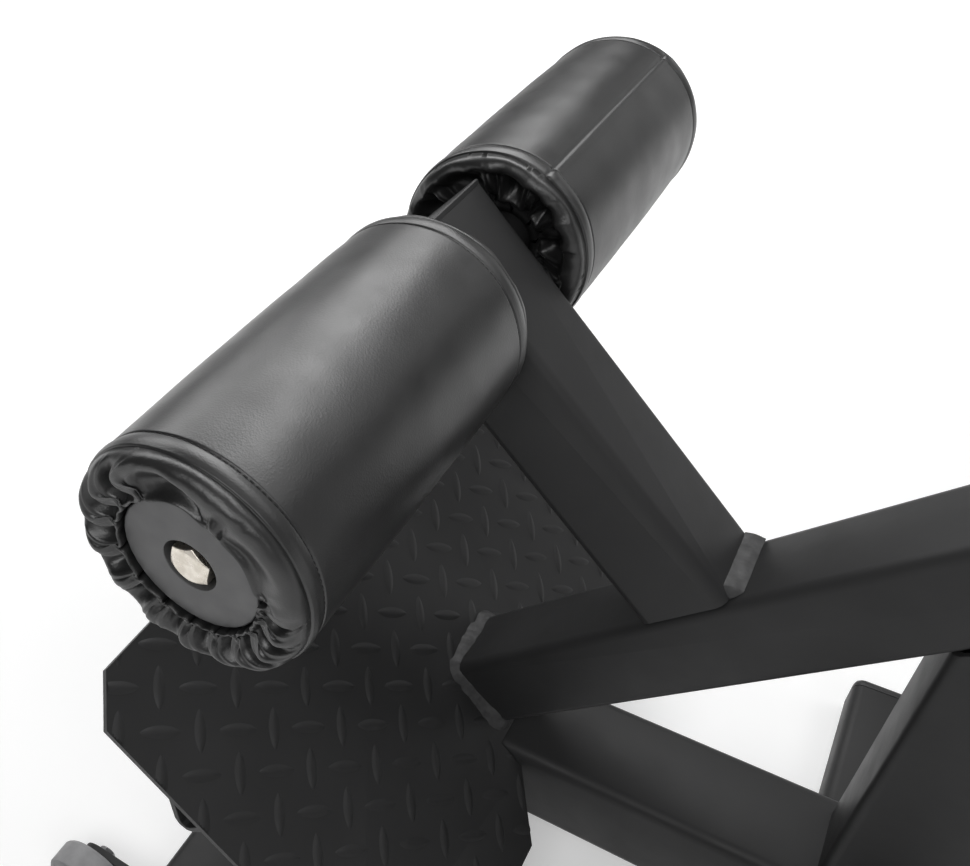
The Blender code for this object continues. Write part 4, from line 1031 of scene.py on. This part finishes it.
# Camera, light and floor.
FLOOR_WHITE = 0.80
FLOOR_SIZE = 30
GLOW_NEAR, GLOW_FAR = 0.6, 2.2          # the floor whitens between these distances from the middle
GLOW_LOW, GLOW_HIGH = 0.32, 1.0         # its glow at the two
WORLD_LIGHT, WORLD_WHITE = 0.05, 1.0    # the world's strength as a light and as a background
BENCH_MIDDLE = Vector((-0.25, 0.0, 0.42))
ROLLER_MIDDLE = Vector((-0.30, -0.20, 0.50))
# name, azimuth and elevation in degrees, distance, what it points at, size in metres, power in watts
LAMPS = (
    ("right low", 20, 15, 2.0, BENCH_MIDDLE, (1.0, 1.0), 3.5),
    ("right", 35, 45, 2.0, BENCH_MIDDLE, (1.0, 1.0), 5.1),
    ("back", 75, 18, 2.0, BENCH_MIDDLE, (1.0, 1.0), 2.1),
    ("window", 115, 45, 2.0, BENCH_MIDDLE, (1.0, 1.0), 16.6),
    ("left", 155, 35, 2.0, BENCH_MIDDLE, (1.0, 1.0), 12.7),
    ("fill", -40, 40, 2.0, BENCH_MIDDLE, (1.0, 1.0), 7.8),
    ("sheen", 75, 55, 0.9, ROLLER_MIDDLE, (0.5, 0.3), 2.9),
    ("front", -79, 46, 1.0, ROLLER_MIDDLE, (0.5, 0.5), 4.2),
)
CAMERA_PLACE = Vector((-0.0933, -0.4325, 0.7639))
CAMERA_RIGHT = Vector((0.8472, 0.5280, -0.0584))
CAMERA_DOWN = Vector((0.3231, -0.5996, -0.7322))
CAMERA_FORWARD = Vector((-0.4216, 0.6014, -0.6786))
SENSOR = 36
PICTURE_SIZE = (970, 866)           # of the photograph in pixels, as are the next two
PICTURE_CENTRE = (328.8, 495.17)    # the point straight ahead of the camera
FOCAL = 962.93


def build_floor():
    """A pale floor. Cameras and reflections see it whiten with distance, and it keeps its shadows."""
    bpy.ops.mesh.primitive_grid_add(x_subdivisions=4, y_subdivisions=4, size=FLOOR_SIZE)
    floor = bpy.context.active_object
    floor.name = "floor"
    material = new_material("floor", (FLOOR_WHITE,) * 3, 0.9)
    rays = add_node(material, "ShaderNodeLightPath")
    seen = add_node(material, "ShaderNodeMath", operation="MAXIMUM")
    any_ray = add_node(material, "ShaderNodeMath", operation="MAXIMUM")
    join(material, rays, "Is Camera Ray", seen, 0)
    join(material, rays, "Is Glossy Ray", seen, 1)
    join(material, seen, 0, any_ray, 0)
    join(material, rays, "Is Transmission Ray", any_ray, 1)
    place = add_node(material, "ShaderNodeNewGeometry")
    away = add_node(material, "ShaderNodeVectorMath", operation="LENGTH")
    join(material, place, "Position", away, 0)
    whiter = add_node(material, "ShaderNodeMapRange", interpolation_type="SMOOTHSTEP")
    for socket, value in (("From Min", GLOW_NEAR), ("From Max", GLOW_FAR), ("To Min", GLOW_LOW),
                          ("To Max", GLOW_HIGH)):
        whiter.inputs[socket].default_value = value
    join(material, away, "Value", whiter, "Value")
    glow = add_node(material, "ShaderNodeMath", operation="MULTIPLY")
    join(material, any_ray, 0, glow, 0)
    join(material, whiter, "Result", glow, 1)
    shader = material.node_tree.nodes["Principled BSDF"]
    shader.inputs["Emission Color"].default_value = (1, 1, 1, 1)
    join(material, glow, 0, shader, "Emission Strength")
    floor.data.materials.append(material)


def build_world():
    """A white background that gives little light."""
    world = bpy.data.worlds.new("studio")
    bpy.context.scene.world = world
    world.use_nodes = True
    background = world.node_tree.nodes["Background"]
    background.inputs["Color"].default_value = (1, 1, 1, 1)
    rays = add_node(world, "ShaderNodeLightPath")
    mix = add_node(world, "ShaderNodeMapRange")
    mix.inputs["To Min"].default_value = WORLD_LIGHT
    mix.inputs["To Max"].default_value = WORLD_WHITE
    join(world, rays, "Is Camera Ray", mix, "Value")
    join(world, mix, "Result", background, "Strength")


def build_lamps():
    """Soft studio lamps, each placed by its direction and distance from what it points at."""
    for name, azimuth, elevation, distance, target, size, power in LAMPS:
        data = bpy.data.lights.new(name, "AREA")
        data.shape = "RECTANGLE"
        data.size, data.size_y = size
        data.energy = power
        lamp = bpy.data.objects.new(name, data)
        bpy.context.scene.collection.objects.link(lamp)
        lamp.visible_camera = False
        level = math.cos(math.radians(elevation))
        away = Vector((level * math.cos(math.radians(azimuth)), level * math.sin(math.radians(azimuth)),
                       math.sin(math.radians(elevation))))
        lamp.location = target + distance * away
        lamp.rotation_euler = away.to_track_quat("Z", "Y").to_euler()


def build_camera():
    """The photograph's camera, as solved from it."""
    data = bpy.data.cameras.new("camera")
    camera = bpy.data.objects.new("camera", data)
    bpy.context.scene.collection.objects.link(camera)
    axes = Matrix((CAMERA_RIGHT, -CAMERA_DOWN, -CAMERA_FORWARD)).transposed()
    camera.matrix_world = Matrix.Translation(CAMERA_PLACE) @ axes.to_4x4()
    data.sensor_width = SENSOR
    data.lens = SENSOR * FOCAL / PICTURE_SIZE[0]
    data.shift_x = (PICTURE_SIZE[0] / 2 - PICTURE_CENTRE[0]) / PICTURE_SIZE[0]
    data.shift_y = (PICTURE_CENTRE[1] - PICTURE_SIZE[1] / 2) / PICTURE_SIZE[0]
    data.clip_start = 0.01
    bpy.context.scene.camera = camera


# Everything together.
SLOT_OF = {entry["node"]: entry["material_slot"] for entry in frame["record"]["subparts"]}
SOFT = {"ankle_roller_near", "ankle_roller_far", "hip_pad_near", "hip_pad_far"}
FINE_EDGES = {"foot_plate": 0.0002, "post_cap": 0.0003, "roller_post": 0.0001}
BARE = {"main_beam": bare_beam, "roller_post": bare_post, "foot_plate": bare_plate,
        "post_cap": bare_cap}
PAINTED = {"post_cap": "powder_coat", "wheel_bolt_near": "bright_steel",
           "wheel_bolt_far": "bright_steel", "wheel_nut_near": "bright_steel",
           "wheel_nut_far": "bright_steel"}

make_materials()
for node in sorted(frame["nodes"]):
    if node not in SOFT:
        refine(node, SLOT_OF[node], FINE_EDGES.get(node, PLAIN_EDGE), BARE.get(node),
               PAINTED.get(node))
build_post_bead()
build_beam_bead()
build_tread()
for side, sign in (("near", -1), ("far", 1)):
    build_roller(side, sign)
    build_hip_pad(side)
bpy.context.scene.view_settings.view_transform = "Standard"
build_floor()
build_world()
build_lamps()
build_camera()
